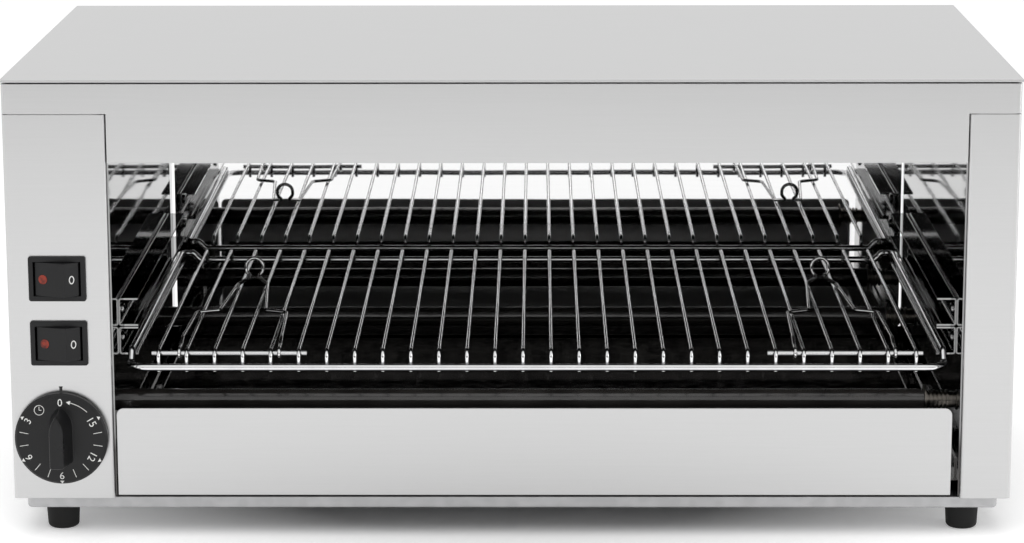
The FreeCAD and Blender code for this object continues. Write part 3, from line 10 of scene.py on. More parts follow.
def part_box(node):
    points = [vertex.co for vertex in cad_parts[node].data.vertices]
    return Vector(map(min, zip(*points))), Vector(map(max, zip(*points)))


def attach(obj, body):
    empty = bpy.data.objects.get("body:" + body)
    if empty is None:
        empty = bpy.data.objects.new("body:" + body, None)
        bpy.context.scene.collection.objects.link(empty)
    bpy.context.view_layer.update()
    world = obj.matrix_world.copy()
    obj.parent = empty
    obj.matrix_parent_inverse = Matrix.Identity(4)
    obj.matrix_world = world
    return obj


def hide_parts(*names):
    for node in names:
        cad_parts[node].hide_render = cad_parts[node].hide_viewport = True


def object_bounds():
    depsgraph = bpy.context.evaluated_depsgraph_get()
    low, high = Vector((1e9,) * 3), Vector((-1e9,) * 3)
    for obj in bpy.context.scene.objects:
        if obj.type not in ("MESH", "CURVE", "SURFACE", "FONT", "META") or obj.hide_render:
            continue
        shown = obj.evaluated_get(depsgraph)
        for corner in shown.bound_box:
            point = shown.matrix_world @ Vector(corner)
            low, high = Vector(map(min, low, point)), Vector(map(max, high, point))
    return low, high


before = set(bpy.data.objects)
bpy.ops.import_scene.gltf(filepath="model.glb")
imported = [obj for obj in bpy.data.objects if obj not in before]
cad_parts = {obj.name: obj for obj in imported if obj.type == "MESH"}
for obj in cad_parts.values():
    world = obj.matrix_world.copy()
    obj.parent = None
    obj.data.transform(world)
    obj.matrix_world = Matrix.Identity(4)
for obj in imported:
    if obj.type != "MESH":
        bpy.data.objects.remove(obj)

CAD_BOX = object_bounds()

bl_info = {
    "name": "Sandwich toaster",
    "version": (1, 0, 0),
    "blender": (4, 5, 0),
    "location": "3D View > Sidebar > Toaster",
    "description": "Dresses the packed toaster with its finishes, print, windings and fasteners",
    "category": "Object",
}

MM = 0.001


def linear(code):
    """sRGB hex code to linear colour."""
    values = [int(code[i:i + 2], 16) / 255 for i in (1, 3, 5)]
    return tuple(v / 12.92 if v <= 0.04045 else ((v + 0.055) / 1.055) ** 2.4 for v in values)


def rgba(colour):
    """The same colour, opaque."""
    return (*colour, 1.0)


# Sizes and colours that a user would change


class StageSettings(bpy.types.PropertyGroup):
    """Camera, floor and lights"""
    camera_place: FloatVectorProperty(
        name="Camera place", description="Where the camera stands, in the frame's axes",
        default=(0.0146, -1.9182, 0.5329), subtype="TRANSLATION", unit="LENGTH")
    camera_pitch: FloatProperty(
        name="Camera pitch", description="How far the camera looks down",
        default=math.radians(12.14), subtype="ANGLE", unit="ROTATION")
    camera_yaw: FloatProperty(
        name="Camera yaw", description="How far the camera is turned to the left",
        default=math.radians(0.46), subtype="ANGLE", unit="ROTATION")
    camera_roll: FloatProperty(
        name="Camera roll", description="How far the camera leans about its own axis",
        default=math.radians(-0.11), subtype="ANGLE", unit="ROTATION")
    camera_lens: FloatProperty(
        name="Camera lens", description="Focal length for a sensor 36 mm wide",
        default=114.9, min=10.0)
    floor_size: FloatProperty(
        name="Floor size", description="Side of the pale floor",
        default=14.0, subtype="DISTANCE", unit="LENGTH")
    floor_colour: FloatVectorProperty(
        name="Floor colour", description="Colour of the pale floor",
        default=linear("#F7F7F7"), size=3, min=0.0, max=1.0, subtype="COLOR")
    floor_lift: FloatProperty(
        name="Floor lift", description="Light added where the floor is seen or mirrored",
        default=0.42, min=0.0)
    room_light: FloatProperty(
        name="Room light", description="Strength of the even light from all round",
        default=0.55, min=0.0)
    top_light: FloatProperty(
        name="Top light", description="Power of the large soft light above the front, in watts",
        default=44.0, min=0.0)
    side_light: FloatProperty(
        name="Side light", description="Power of the narrow light on the right, in watts",
        default=3.5, min=0.0)
    front_light: FloatProperty(
        name="Front light", description="Power of the strip that draws bright lines on the wires, in watts",
        default=3.0, min=0.0)


class CasingSettings(bpy.types.PropertyGroup):
    """Satin steel"""
    steel_colour: FloatVectorProperty(
        name="Steel colour", description="Colour of the satin stainless steel",
        default=linear("#C5C5C5"), size=3, min=0.0, max=1.0, subtype="COLOR")
    steel_roughness: FloatProperty(
        name="Steel roughness", description="Roughness of the satin stainless steel",
        default=0.3, min=0.0, max=1.0)
    grain_pitch: FloatProperty(
        name="Grain pitch", description="Spacing of the brushed lines across the grain",
        default=0.9 * MM, subtype="DISTANCE", unit="LENGTH")
    grain_length: FloatProperty(
        name="Grain length", description="Length of the brushed lines", default=45 * MM,
        subtype="DISTANCE", unit="LENGTH")
    grain_depth: FloatProperty(
        name="Grain depth", description="Depth of the brushed lines", default=0.001 * MM,
        subtype="DISTANCE", unit="LENGTH")


class ChamberSettings(bpy.types.PropertyGroup):
    """Polished steel"""
    mirror_colour: FloatVectorProperty(
        name="Polished colour", description="Colour of the mirror polished back",
        default=linear("#DBDBDB"), size=3, min=0.0, max=1.0, subtype="COLOR")
    # Painted shade: the liners' polished steel is coloured darker than the same steel of the back.
    liner_colour_painted_shade: FloatVectorProperty(
        name="Liner colour", description="Colour of the polished liners, set darker as painted shade",
        default=linear("#929292"), size=3, min=0.0, max=1.0, subtype="COLOR")
    # Painted shade: below this height the liners and the back are coloured darker.
    painted_shade_colour: FloatVectorProperty(
        name="Painted shade colour", description="Colour of the liners under the lower tubes",
        default=linear("#535150"), size=3, min=0.0, max=1.0, subtype="COLOR")
    painted_shade_height: FloatProperty(
        name="Painted shade height", description="Height up to which the liners are coloured darker as painted shade",
        default=62 * MM, subtype="DISTANCE", unit="LENGTH")
    mirror_roughness: FloatProperty(
        name="Polished roughness", description="Roughness of the mirror polished steel",
        default=0.02, min=0.0, max=1.0)
    sheet_wave: FloatProperty(
        name="Sheet wave", description="Distance between the soft waves of the thin sheet",
        default=70 * MM, subtype="DISTANCE", unit="LENGTH")
    back_wall: FloatProperty(
        name="Back wall", description="Depth of the polished inner side of the back",
        default=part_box("left_liner")[1][1], subtype="DISTANCE", unit="LENGTH")


class HeaterSettings(bpy.types.PropertyGroup):
    """Resistance wire"""
    winding_radius: FloatProperty(
        name="Winding radius", description="Radius of the wound wire's coil, to the middle of the wire",
        default=3.1 * MM, subtype="DISTANCE", unit="LENGTH")
    winding_pitch: FloatProperty(
        name="Winding pitch", description="Distance from one turn to the next",
        default=2.4 * MM, subtype="DISTANCE", unit="LENGTH")
    winding_wire: FloatProperty(
        name="Winding wire", description="Radius of the resistance wire",
        default=0.35 * MM, subtype="DISTANCE", unit="LENGTH")


class DialSettings(bpy.types.PropertyGroup):
    """Print of the dial"""
    digit_height: FloatProperty(
        name="Digit height", description="Height of the printed numbers",
        default=4.2 * MM, subtype="DISTANCE", unit="LENGTH")
    digit_radius: FloatProperty(
        name="Number ring", description="Distance of the numbers from the knob's axis",
        default=20.8 * MM, subtype="DISTANCE", unit="LENGTH")
    tick_width: FloatProperty(
        name="Tick width", description="Width of the printed lines",
        default=0.34 * MM, subtype="DISTANCE", unit="LENGTH")
    number_count: IntProperty(
        name="Numbers", description="How many numbers stand round the dial", default=6, min=2)


# Small helpers for nodes

PATTERN_LOW = 0.3
PATTERN_HIGH = 0.7
EDGE_SAMPLES = 4
FOLD_EDGE = 0.4 * MM
SHEET_ANISOTROPY = 0.35
PAINTED_SHADE_FADE = 12 * MM
SATIN_FROM = 0.3 * MM
SATIN_TO = 0.6 * MM


def add_node(tree, kind, settings=None, links=None):
    """Adds one node, sets its inputs and options, and joins its inputs to outputs of other nodes."""
    node = tree.nodes.new(kind)
    for key, value in (settings or {}).items():
        if isinstance(key, int) or key in node.inputs:
            node.inputs[key].default_value = value
        else:
            setattr(node, key, value)
    for key, socket in (links or {}).items():
        tree.links.new(node.inputs[key], socket)
    return node


def new_material(name, settings):
    """Material with one shader, whose even values are set on the shader's own sockets."""
    material = bpy.data.materials.new(name)
    material.use_nodes = True
    tree = material.node_tree
    tree.nodes.clear()
    shader = add_node(tree, "ShaderNodeBsdfPrincipled", settings)
    add_node(tree, "ShaderNodeOutputMaterial", links={"Surface": shader.outputs[0]})
    return material, tree, shader


def grained(tree, size, detail=2.0, stretch=(1.0, 1.0, 1.0)):
    """Pattern fixed to the object, whose patches are about the given size in metres."""
    place = add_node(tree, "ShaderNodeTexCoord")
    along = add_node(tree, "ShaderNodeMapping", {"Scale": stretch}, {"Vector": place.outputs["Object"]})
    noise = add_node(tree, "ShaderNodeTexNoise", {"Scale": 1 / size, "Detail": detail},
                     {"Vector": along.outputs["Vector"]})
    return noise.outputs["Fac"]


def cells(tree, size):
    """Pattern of rounded cells fixed to the object, of about the given size in metres."""
    place = add_node(tree, "ShaderNodeTexCoord")
    grid = add_node(tree, "ShaderNodeTexVoronoi", {"Scale": 1 / size, "feature": "SMOOTH_F1"},
                    {"Vector": place.outputs["Object"]})
    return grid.outputs["Distance"]


def rising(tree, axis, low, high):
    """Rises from 0 to 1 between two places along an axis of the object."""
    place = add_node(tree, "ShaderNodeTexCoord")
    parts = add_node(tree, "ShaderNodeSeparateXYZ", links={0: place.outputs["Object"]})
    return add_node(tree, "ShaderNodeMapRange", {"From Min": low, "From Max": high},
                    {"Value": parts.outputs[axis]}).outputs["Result"]


def worn(tree, shader, pattern, dark, light, gloss):
    """Lets a pattern choose the colour between two, and the roughness between two."""
    amount = add_node(tree, "ShaderNodeMapRange", {
        "From Min": PATTERN_LOW, "From Max": PATTERN_HIGH}, {"Value": pattern})
    colour = add_node(tree, "ShaderNodeMix", {"data_type": "RGBA", 6: rgba(dark), 7: rgba(light)},
                      {0: amount.outputs["Result"]})
    rough = add_node(tree, "ShaderNodeMapRange", {"To Min": gloss[0], "To Max": gloss[1]},
                     {"Value": amount.outputs["Result"]})
    tree.links.new(shader.inputs["Base Color"], colour.outputs[2])
    tree.links.new(shader.inputs["Roughness"], rough.outputs["Result"])
    return colour, rough


def relief(tree, shader, pattern, depth, edge=0.0):
    """Raises the surface by a pattern of the given depth, and rounds its sharp edges by a radius."""
    bump = add_node(tree, "ShaderNodeBump", {"Strength": 1.0, "Distance": depth}, {"Height": pattern})
    if edge:
        corner = add_node(tree, "ShaderNodeBevel", {"samples": EDGE_SAMPLES, "Radius": edge})
        tree.links.new(bump.inputs["Normal"], corner.outputs["Normal"])
    tree.links.new(shader.inputs["Normal"], bump.outputs["Normal"])


def scaled(colour, factor):
    """Colour made lighter or darker, at most white."""
    return tuple(min(1.0, c * factor) for c in colour)


def brushed_lines(tree, level):
    """Lines of the belt that ground the sheet: along X on a level sheet, level on upright ones."""
    casing = bpy.context.scene.toaster_casing
    fine = casing.grain_pitch / casing.grain_length
    return grained(tree, casing.grain_pitch, 3.0, (fine, 1.0, 1.0) if level else (fine, fine, 1.0))


# Finishes, each named for the real material and how its surface is made


def satin_stainless(level=False):
    """Stainless sheet ground with a fine belt: even pale grey, soft reflections, faint lines along it.

    The real lines are too fine to show, so they are drawn as coarse as the grain pitch."""
    casing = bpy.context.scene.toaster_casing
    name = "satin_stainless_level" if level else "satin_stainless_upright"
    material, tree, shader = new_material(name, {"Metallic": 1.0, "Anisotropic": SHEET_ANISOTROPY})
    lines = brushed_lines(tree, level)
    colour, rough = casing.steel_colour, casing.steel_roughness
    worn(tree, shader, lines, scaled(colour, 0.985), scaled(colour, 1.01), (rough - 0.02, rough + 0.02))
    relief(tree, shader, lines, casing.grain_depth, FOLD_EDGE)
    tangent = add_node(tree, "ShaderNodeTangent", {
        "direction_type": "RADIAL", "axis": "X" if level else "Z"})
    tree.links.new(shader.inputs["Tangent"], tangent.outputs[0])
    return material


def satin_stainless_level():
    """The same sheet where it lies level, with its grain along X."""
    return satin_stainless(level=True)


def painted_shade_below(tree, unshaded_colour):
    """Colour of the chamber's sheet: below the lower tubes it is coloured darker, as painted shade."""
    chamber = bpy.context.scene.toaster_chamber
    above = rising(tree, "Z", chamber.painted_shade_height - PAINTED_SHADE_FADE, chamber.painted_shade_height)
    mixed = add_node(tree, "ShaderNodeMix", {"data_type": "RGBA", 6: rgba(chamber.painted_shade_colour)},
                     {0: above, 7: unshaded_colour})
    return mixed.outputs[2]


def mirror_stainless():
    """Bright polished stainless liner: mirror reflections bent by the thin sheet's waves. Its colour is set
    darker than the back's, as painted shade.
    """
    chamber = bpy.context.scene.toaster_chamber
    material, tree, shader = new_material("mirror_stainless", {"Metallic": 1.0})
    wave = grained(tree, chamber.sheet_wave, 1.0)
    rough = chamber.mirror_roughness
    # The liner colour here is the darker copy of the polished steel, painted shade.
    bright, _ = worn(tree, shader, wave, scaled(chamber.liner_colour_painted_shade, 0.96), chamber.liner_colour_painted_shade,
                     (rough, rough + 0.02))
    # Below the lower tubes the liner colour turns darker, as painted shade.
    tree.links.new(shader.inputs["Base Color"], painted_shade_below(tree, bright.outputs[2]))
    relief(tree, shader, wave, 0.08 * MM, 0.25 * MM)
    return material


def half_polished_stainless():
    """Sheet of the back: its inner side is polished like the liners, its outer side is left satin."""
    chamber = bpy.context.scene.toaster_chamber
    casing = bpy.context.scene.toaster_casing
    material, tree, shader = new_material("half_polished_stainless", {"Metallic": 1.0})
    rough = casing.steel_roughness
    polished, satin = worn(tree, shader, brushed_lines(tree, False), scaled(chamber.mirror_colour, 0.98),
                           chamber.mirror_colour, (rough - 0.02, rough + 0.02))
    outside = rising(tree, "Y", chamber.back_wall + SATIN_FROM, chamber.back_wall + SATIN_TO)
    # Below the lower tubes the back's inner side turns darker, as painted shade.
    colour = add_node(tree, "ShaderNodeMix", {"data_type": "RGBA", 7: rgba(casing.steel_colour)},
                      {0: outside, 6: painted_shade_below(tree, polished.outputs[2])})
    gloss = add_node(tree, "ShaderNodeMix", {"data_type": "FLOAT", 2: chamber.mirror_roughness},
                     {0: outside, 3: satin.outputs["Result"]})
    tree.links.new(shader.inputs["Base Color"], colour.outputs[2])
    tree.links.new(shader.inputs["Roughness"], gloss.outputs[0])
    relief(tree, shader, grained(tree, chamber.sheet_wave, 1.0), 0.06 * MM)
    return material


def rolled_stainless_painted_shade():
    """Rolled stainless of the crumb tray: dull grey mirror with rub marks, coloured very dark as painted
    shade.
    """
    material, tree, shader = new_material("rolled_stainless_painted_shade", {"Metallic": 1.0})
    # Both colours are very dark as painted shade of the tray floor deep in the chamber; the pattern between
    # them is rub marks.
    worn(tree, shader, grained(tree, 6 * MM, 4.0), linear("#343332"), linear("#403F3D"), (0.05, 0.12))
    relief(tree, shader, grained(tree, 55 * MM, 1.0), 0.1 * MM, 0.3 * MM)
    return material


def aluminised_sheet():
    """Hot dipped aluminised steel of the base pan: matt grey with a fine cloudy spangle."""
    material, tree, shader = new_material("aluminised_sheet", {"Metallic": 1.0})
    spangle = cells(tree, 7 * MM)
    worn(tree, shader, spangle, linear("#B0B0B1"), linear("#C0C0C1"), (0.42, 0.56))
    relief(tree, shader, spangle, 0.01 * MM, FOLD_EDGE)
    return material


def wire_finish(name, dark, light, gloss, depth):
    """Round wire or a turned or plated piece, whose gloss varies a little along its length."""
    material, tree, shader = new_material(name, {"Metallic": 1.0})
    worn(tree, shader, grained(tree, 9 * MM, 3.0), linear(dark), linear(light), gloss)
    relief(tree, shader, grained(tree, 1.4 * MM), depth)
    return material


def chromed_wire():
    """Bright chrome over welded steel rod: sharp white highlight lines, a soft peel between them."""
    return wire_finish("chromed_wire", "#D8D8D9", "#E2E2E3", (0.03, 0.09), 0.004 * MM)


def drawn_spring_wire():
    """Drawn stainless spring wire of the pull handles: bright, a little greyer than the chrome."""
    return wire_finish("drawn_spring_wire", "#D2D2D2", "#DCDCDC", (0.05, 0.12), 0.006 * MM)


def zinc_plate():
    """Blue passivated zinc on screws: cool grey, soft gloss with cloudy patches."""
    return wire_finish("zinc_plate", "#B6B9BD", "#BFC2C6", (0.24, 0.38), 0.01 * MM)


def turned_steel():
    """Turned steel fittings near the heat: dark grey with a brown tinge and fine tool rings."""
    return wire_finish("turned_steel", "#5E5A55", "#75706A", (0.22, 0.36), 0.01 * MM)


def oxidised_winding():
    """Resistance wire after many heats: dark brown grey oxide, nearly matt."""
    return wire_finish("oxidised_winding", "#524B45", "#5C554E", (0.45, 0.6), 0.01 * MM)


def tinned_brass():
    """Tin over brass terminals: pale yellow grey, soft gloss."""
    return wire_finish("tinned_brass", "#C4BA9B", "#CFC5A4", (0.25, 0.4), 0.01 * MM)


def plated_case():
    """Zinc plated pressing of the timer's case: yellowish grey with a cloudy passivated skin."""
    return wire_finish("plated_case", "#B1AB95", "#BDB79F", (0.3, 0.45), 0.01 * MM)


def satin_quartz():
    """Quartz glass tube with a dark satin coat: glossy smoke grey that lets the winding show faintly."""
    material, tree, shader = new_material("satin_quartz", {
        "Transmission Weight": 0.45, "IOR": 1.46, "Coat Weight": 0.6, "Coat Roughness": 0.05})
    worn(tree, shader, grained(tree, 22 * MM, 3.0), linear("#2E2C2A"), linear("#454240"), (0.12, 0.24))
    relief(tree, shader, grained(tree, 3 * MM), 0.01 * MM)
    return material


def unglazed_steatite():
    """Unglazed steatite: warm white pressed ceramic, dry and fine grained."""
    material, tree, shader = new_material("unglazed_steatite", {"IOR": 1.55})
    grit = grained(tree, 0.6 * MM, 3.0)
    worn(tree, shader, grit, linear("#D8D0C2"), linear("#E8E2D6"), (0.6, 0.78))
    relief(tree, shader, grit, 0.03 * MM)
    return material


def moulded(name, dark, light, gloss, depth, edge=0.25 * MM):
    """Moulded plastic or rubber: the fine texture of its mould, and slightly worn gloss."""
    material, tree, shader = new_material(name, {"IOR": 1.5, "Specular IOR Level": 0.3})
    worn(tree, shader, grained(tree, 14 * MM), linear(dark), linear(light), gloss)
    relief(tree, shader, grained(tree, 0.5 * MM, 3.0), depth, edge)
    return material


def moulded_rubber():
    """Black moulded rubber feet: matt, with a dusty bloom in patches."""
    return moulded("moulded_rubber", "#141414", "#222221", (0.62, 0.8), 0.02 * MM)


def moulded_nylon():
    """Black nylon of the cable gland: satin, fine spark texture."""
    return moulded("moulded_nylon", "#18181A", "#222224", (0.42, 0.55), 0.015 * MM)


def switch_nylon():
    """Black switch plastic: fine matt texture with soft gloss on its crowned faces."""
    return moulded("switch_nylon", "#131314", "#1B1B1C", (0.36, 0.46), 0.01 * MM)


def moulded_phenolic():
    """Black thermoset of the timer knob: dense, smooth satin skin with sharper gloss on its edges."""
    return moulded("moulded_phenolic", "#111112", "#171718", (0.26, 0.36), 0.006 * MM, 0.7 * MM)


def red_lens():
    """Red acrylic lens over an unlit neon lamp: dark orange red; lighter orange cells are painted
    highlights of the light its inner faceting catches.
    """
    material, tree, shader = new_material("red_lens", {"IOR": 1.49, "Specular IOR Level": 0.35})
    facet_bumps_and_painted_glints = cells(tree, 2.4 * MM)
    # Painted highlight: the lighter orange cells stand in for glints; the same cells also give the real
    # bumps.
    worn(tree, shader, facet_bumps_and_painted_glints, linear("#8E2C18"), linear("#45100A"), (0.12, 0.22))
    relief(tree, shader, facet_bumps_and_painted_glints, 0.04 * MM)
    return material


def silicone_sleeve():
    """Silicone insulation of the inner wires: soft satin, one plain colour for each wire."""
    material, tree, shader = new_material("silicone_sleeve", {"IOR": 1.41})
    fine = grained(tree, 1.5 * MM)
    worn(tree, shader, fine, linear("#3A3A3C"), linear("#444446"), (0.45, 0.6))
    island = add_node(tree, "ShaderNodeNewGeometry")
    ramp = add_node(tree, "ShaderNodeValToRGB", links={"Fac": island.outputs["Random Per Island"]})
    ramp.color_ramp.interpolation = "CONSTANT"
    stops = ("#3A3A3C", "#5B3D2A", "#2F4F86", "#B9B4A8")
    ramp.color_ramp.elements[0].color = rgba(linear(stops[0]))
    ramp.color_ramp.elements[1].position = 1 / len(stops)
    ramp.color_ramp.elements[1].color = rgba(linear(stops[1]))
    for i, code in enumerate(stops[2:], start=2):
        ramp.color_ramp.elements.new(i / len(stops)).color = rgba(linear(code))
    tree.links.new(shader.inputs["Base Color"], ramp.outputs["Color"])
    relief(tree, shader, fine, 0.02 * MM)
    return material


def ink(name, dark, light):
    """Pad printed ink: matt and opaque, a little thin in places."""
    material, tree, shader = new_material(name, {"IOR": 1.5})
    thin = grained(tree, 0.8 * MM, 3.0)
    worn(tree, shader, thin, linear(dark), linear(light), (0.45, 0.6))
    relief(tree, shader, thin, 0.01 * MM)
    return material


def white_ink():
    """White print of the dial and the rockers."""
    return ink("white_ink", "#D9D9D6", "#F2F2F0")


def black_ink():
    """Black print of the index mark on the casing."""
    return ink("black_ink", "#161616", "#202020")


NODE_FINISHES = {
    satin_stainless: ["front_header", "left_side_panel", "right_side_panel", "tray_front"],
    half_polished_stainless: ["back_panel"],
    satin_stainless_level: ["lid"],
    mirror_stainless: ["left_liner", "right_liner", "ceiling_reflector", "lower_left_guide",
                       "upper_left_guide", "lower_right_guide", "upper_right_guide", "guide_rivets",
                       "left_tray_runner", "right_tray_runner"],
    rolled_stainless_painted_shade: ["tray_pan"],
    aluminised_sheet: ["base_pan"],
    chromed_wire: ["rack_frame", "rack_rods", "rack_cross_bars"],
    drawn_spring_wire: ["left_wire_handle", "right_wire_handle"],
    zinc_plate: ["foot_screws", "back_screws", "lid_screws", "timer_screws"],
    turned_steel: ["right_end_fittings", "tube_clips", "timer_shaft"],
    oxidised_winding: ["lower_heating_coils", "upper_heating_coils"],
    tinned_brass: ["switch_terminals", "block_screws", "earth_stud", "element_links"],
    plated_case: ["timer_body"],
    satin_quartz: ["lower_quartz_tubes", "upper_quartz_tubes"],
    unglazed_steatite: ["left_end_caps", "terminal_block"],
    moulded_rubber: ["rubber_feet"],
    moulded_nylon: ["cable_gland", "gland_nut"],
    switch_nylon: ["lower_switch_housing", "upper_switch_housing", "lower_rocker", "upper_rocker"],
    moulded_phenolic: ["timer_knob"],
    red_lens: ["lower_neon_lens", "upper_neon_lens"],
    silicone_sleeve: ["internal_wiring"],
}

FINISHES = {}


def finish(make):
    """The material that a finish function makes, made once."""
    if make not in FINISHES:
        FINISHES[make] = make()
    return FINISHES[make]


def dress_nodes(makes):
    """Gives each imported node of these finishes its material."""
    for make in makes:
        for node in NODE_FINISHES[make]:
            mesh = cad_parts[node].data
            mesh.materials.clear()
            mesh.materials.append(finish(make))


def new_piece(name, vertices, faces, make, body, slot):
    """New mesh piece with its finish, riding on a body."""
    mesh = bpy.data.meshes.new(name)
    mesh.from_pydata([tuple(v) for v in vertices], [], faces)
    mesh.update()
    piece = bpy.data.objects.new(name, mesh)
    bpy.context.scene.collection.objects.link(piece)
    mesh.materials.append(finish(make))
    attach(piece, body)
    return piece


def smooth(piece):
    """Soft shading over the piece's faces."""
    for polygon in piece.data.polygons:
        polygon.use_smooth = True


def box_corners(node):
    """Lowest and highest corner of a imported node's box."""
    return [Vector(corner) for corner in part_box(node)]


# Heating tubes

WINDING_STEPS = 14
WIRE_SIDES = 5


def winding_turns(start, length, radius, pitch, wire):
    """Vertices and faces of one wound wire along X."""
    rings = int(length / pitch * WINDING_STEPS)
    slope = pitch / (2 * math.pi * radius)
    vertices = []
    for i in range(rings + 1):
        angle = 2 * math.pi * i / WINDING_STEPS
        out = Vector((0, math.cos(angle), math.sin(angle)))
        along = Vector((slope, -math.sin(angle), math.cos(angle))).normalized()
        side = along.cross(out)
        centre = start + Vector((pitch * i / WINDING_STEPS, 0, 0)) + out * radius
        for k in range(WIRE_SIDES):
            turn = 2 * math.pi * k / WIRE_SIDES
            vertices.append(centre + (out * math.cos(turn) + side * math.sin(turn)) * wire)
    faces = []
    for i in range(rings):
        for k in range(WIRE_SIDES):
            a = i * WIRE_SIDES + k
            b = i * WIRE_SIDES + (k + 1) % WIRE_SIDES
            faces.append((a, b, b + WIRE_SIDES, a + WIRE_SIDES))
    return vertices, faces


def joined(parts):
    """One list of vertices and faces from several."""
    vertices = []
    faces = []
    for more_vertices, more_faces in parts:
        offset = len(vertices)
        vertices.extend(more_vertices)
        faces.extend(tuple(i + offset for i in face) for face in more_faces)
    return vertices, faces


class TOASTER_OT_heater(bpy.types.Operator):
    """Dress the quartz tubes and wind their resistance wire"""
    bl_idname = "toaster.heater"
    bl_label = "Heating tubes"

    def execute(self, context):
        heater = context.scene.toaster_heater
        dress_nodes([satin_quartz, unglazed_steatite, turned_steel, tinned_brass])
        for level in ("lower", "upper"):
            node = level + "_heating_coils"
            low, high = box_corners(node)
            core = (high.z - low.z) / 2
            parts = []
            for y in (low.y + core, high.y - core):
                start = Vector((low.x, y, low.z + core))
                parts.append(winding_turns(start, high.x - low.x, heater.winding_radius,
                                           heater.winding_pitch, heater.winding_wire))
            piece = new_piece(level + "_windings", *joined(parts), oxidised_winding, "casing",
                              "resistance_wire")
            smooth(piece)
            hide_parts(node)
        return {"FINISHED"}


# Casing and chamber


class TOASTER_OT_casing(bpy.types.Operator):
    """Dress the casing, the base, the feet and the inlet"""
    bl_idname = "toaster.casing"
    bl_label = "Casing"

    def execute(self, context):
        dress_nodes([satin_stainless, satin_stainless_level, aluminised_sheet, moulded_rubber,
                     moulded_nylon, zinc_plate, plated_case, silicone_sleeve, oxidised_winding])
        return {"FINISHED"}


class TOASTER_OT_chamber(bpy.types.Operator):
    """Dress the polished chamber and the crumb tray"""
    bl_idname = "toaster.chamber"
    bl_label = "Chamber"

    def execute(self, context):
        dress_nodes([mirror_stainless, half_polished_stainless, rolled_stainless_painted_shade])
        return {"FINISHED"}


# Rack

ROD_COUNT = 28
ROD_RADIUS = 1.15 * MM
WELD_SIZE = (1.5 * MM, 0.9 * MM, 1.2 * MM)
WELD_RINGS = 6
WELD_SIDES = 8
WELD_SPREAD = 0.18
WELD_INSET = 0.2 * ROD_RADIUS
WELD_SEED = 7


def weld_bead(centre, dice):
    """Small uneven bead of a spot weld between a rod and the frame wire."""
    size = [s * (1 + WELD_SPREAD * (dice.random() - 0.5)) for s in WELD_SIZE]
    vertices = []
    faces = []
    for i in range(WELD_RINGS + 1):
        polar = math.pi * i / WELD_RINGS
        for k in range(WELD_SIDES):
            turn = 2 * math.pi * k / WELD_SIDES
            swell = 1 + WELD_SPREAD * (dice.random() - 0.5)
            vertices.append(centre + Vector((size[0] * math.sin(polar) * math.cos(turn) * swell,
                                             size[1] * math.sin(polar) * math.sin(turn) * swell,
                                             size[2] * math.cos(polar))))
    for i in range(WELD_RINGS):
        for k in range(WELD_SIDES):
            a = i * WELD_SIDES + k
            b = i * WELD_SIDES + (k + 1) % WELD_SIDES
            faces.append((a, a + WELD_SIDES, b + WELD_SIDES, b))
    return vertices, faces


class TOASTER_OT_rack(bpy.types.Operator):
    """Dress the wire rack and its handles, and add the weld beads"""
    bl_idname = "toaster.rack"
    bl_label = "Rack"

    def execute(self, context):
        dress_nodes([chromed_wire, drawn_spring_wire])
        low, high = box_corners("rack_rods")
        frame_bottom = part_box("rack_frame")[0][2]
        first = low.x + ROD_RADIUS
        pitch = (high.x - low.x - 2 * ROD_RADIUS) / (ROD_COUNT - 1)
        wire = 2 * ROD_RADIUS
        dice = random.Random(WELD_SEED)
        parts = []
        for i in range(ROD_COUNT):
            x = first + i * pitch
            for y, z in ((low.y + WELD_INSET, frame_bottom + wire),
                         (high.y - WELD_INSET, low.z + wire * 1.5)):
                parts.append(weld_bead(Vector((x, y, z)), dice))
        beads = new_piece("rack_welds", *joined(parts), chromed_wire, "rack", "chromed_wire")
        smooth(beads)
        return {"FINISHED"}


# Switches

SWITCHES = ("lower", "upper")
ROCKER_PIVOT_BEHIND_PANEL = 3.5 * MM
ROCKER_REST_TILT = math.radians(10)
ROCKER_RIDGE = (2.7 * MM, -7.6 * MM)
ROCKER_RIGHT_END = (12.9 * MM, -2.5 * MM)
LEGEND_SHARE = 0.42
LEGEND_WIDTH = 3.4 * MM
LEGEND_HEIGHT = 4.7 * MM
LEGEND_STROKE = 0.62 * MM
LEGEND_SIDES = 40
PRINT_FILM = 0.05 * MM


def ring_on(centre, across, up, outward, width, height, stroke):
    """Flat oval ring on a face, raised by the thickness of the print."""
    vertices = []
    faces = []
    for i in range(LEGEND_SIDES):
        turn = 2 * math.pi * i / LEGEND_SIDES
        for inset in (0.0, stroke):
            flat = (across * (width / 2 - inset) * math.sin(turn)
                    + up * (height / 2 - inset) * math.cos(turn))
            vertices.append(centre + flat + outward * PRINT_FILM)
    for i in range(LEGEND_SIDES):
        a = 2 * i
        b = 2 * ((i + 1) % LEGEND_SIDES)
        faces.append((a, b, b + 1, a + 1))
    return vertices, faces


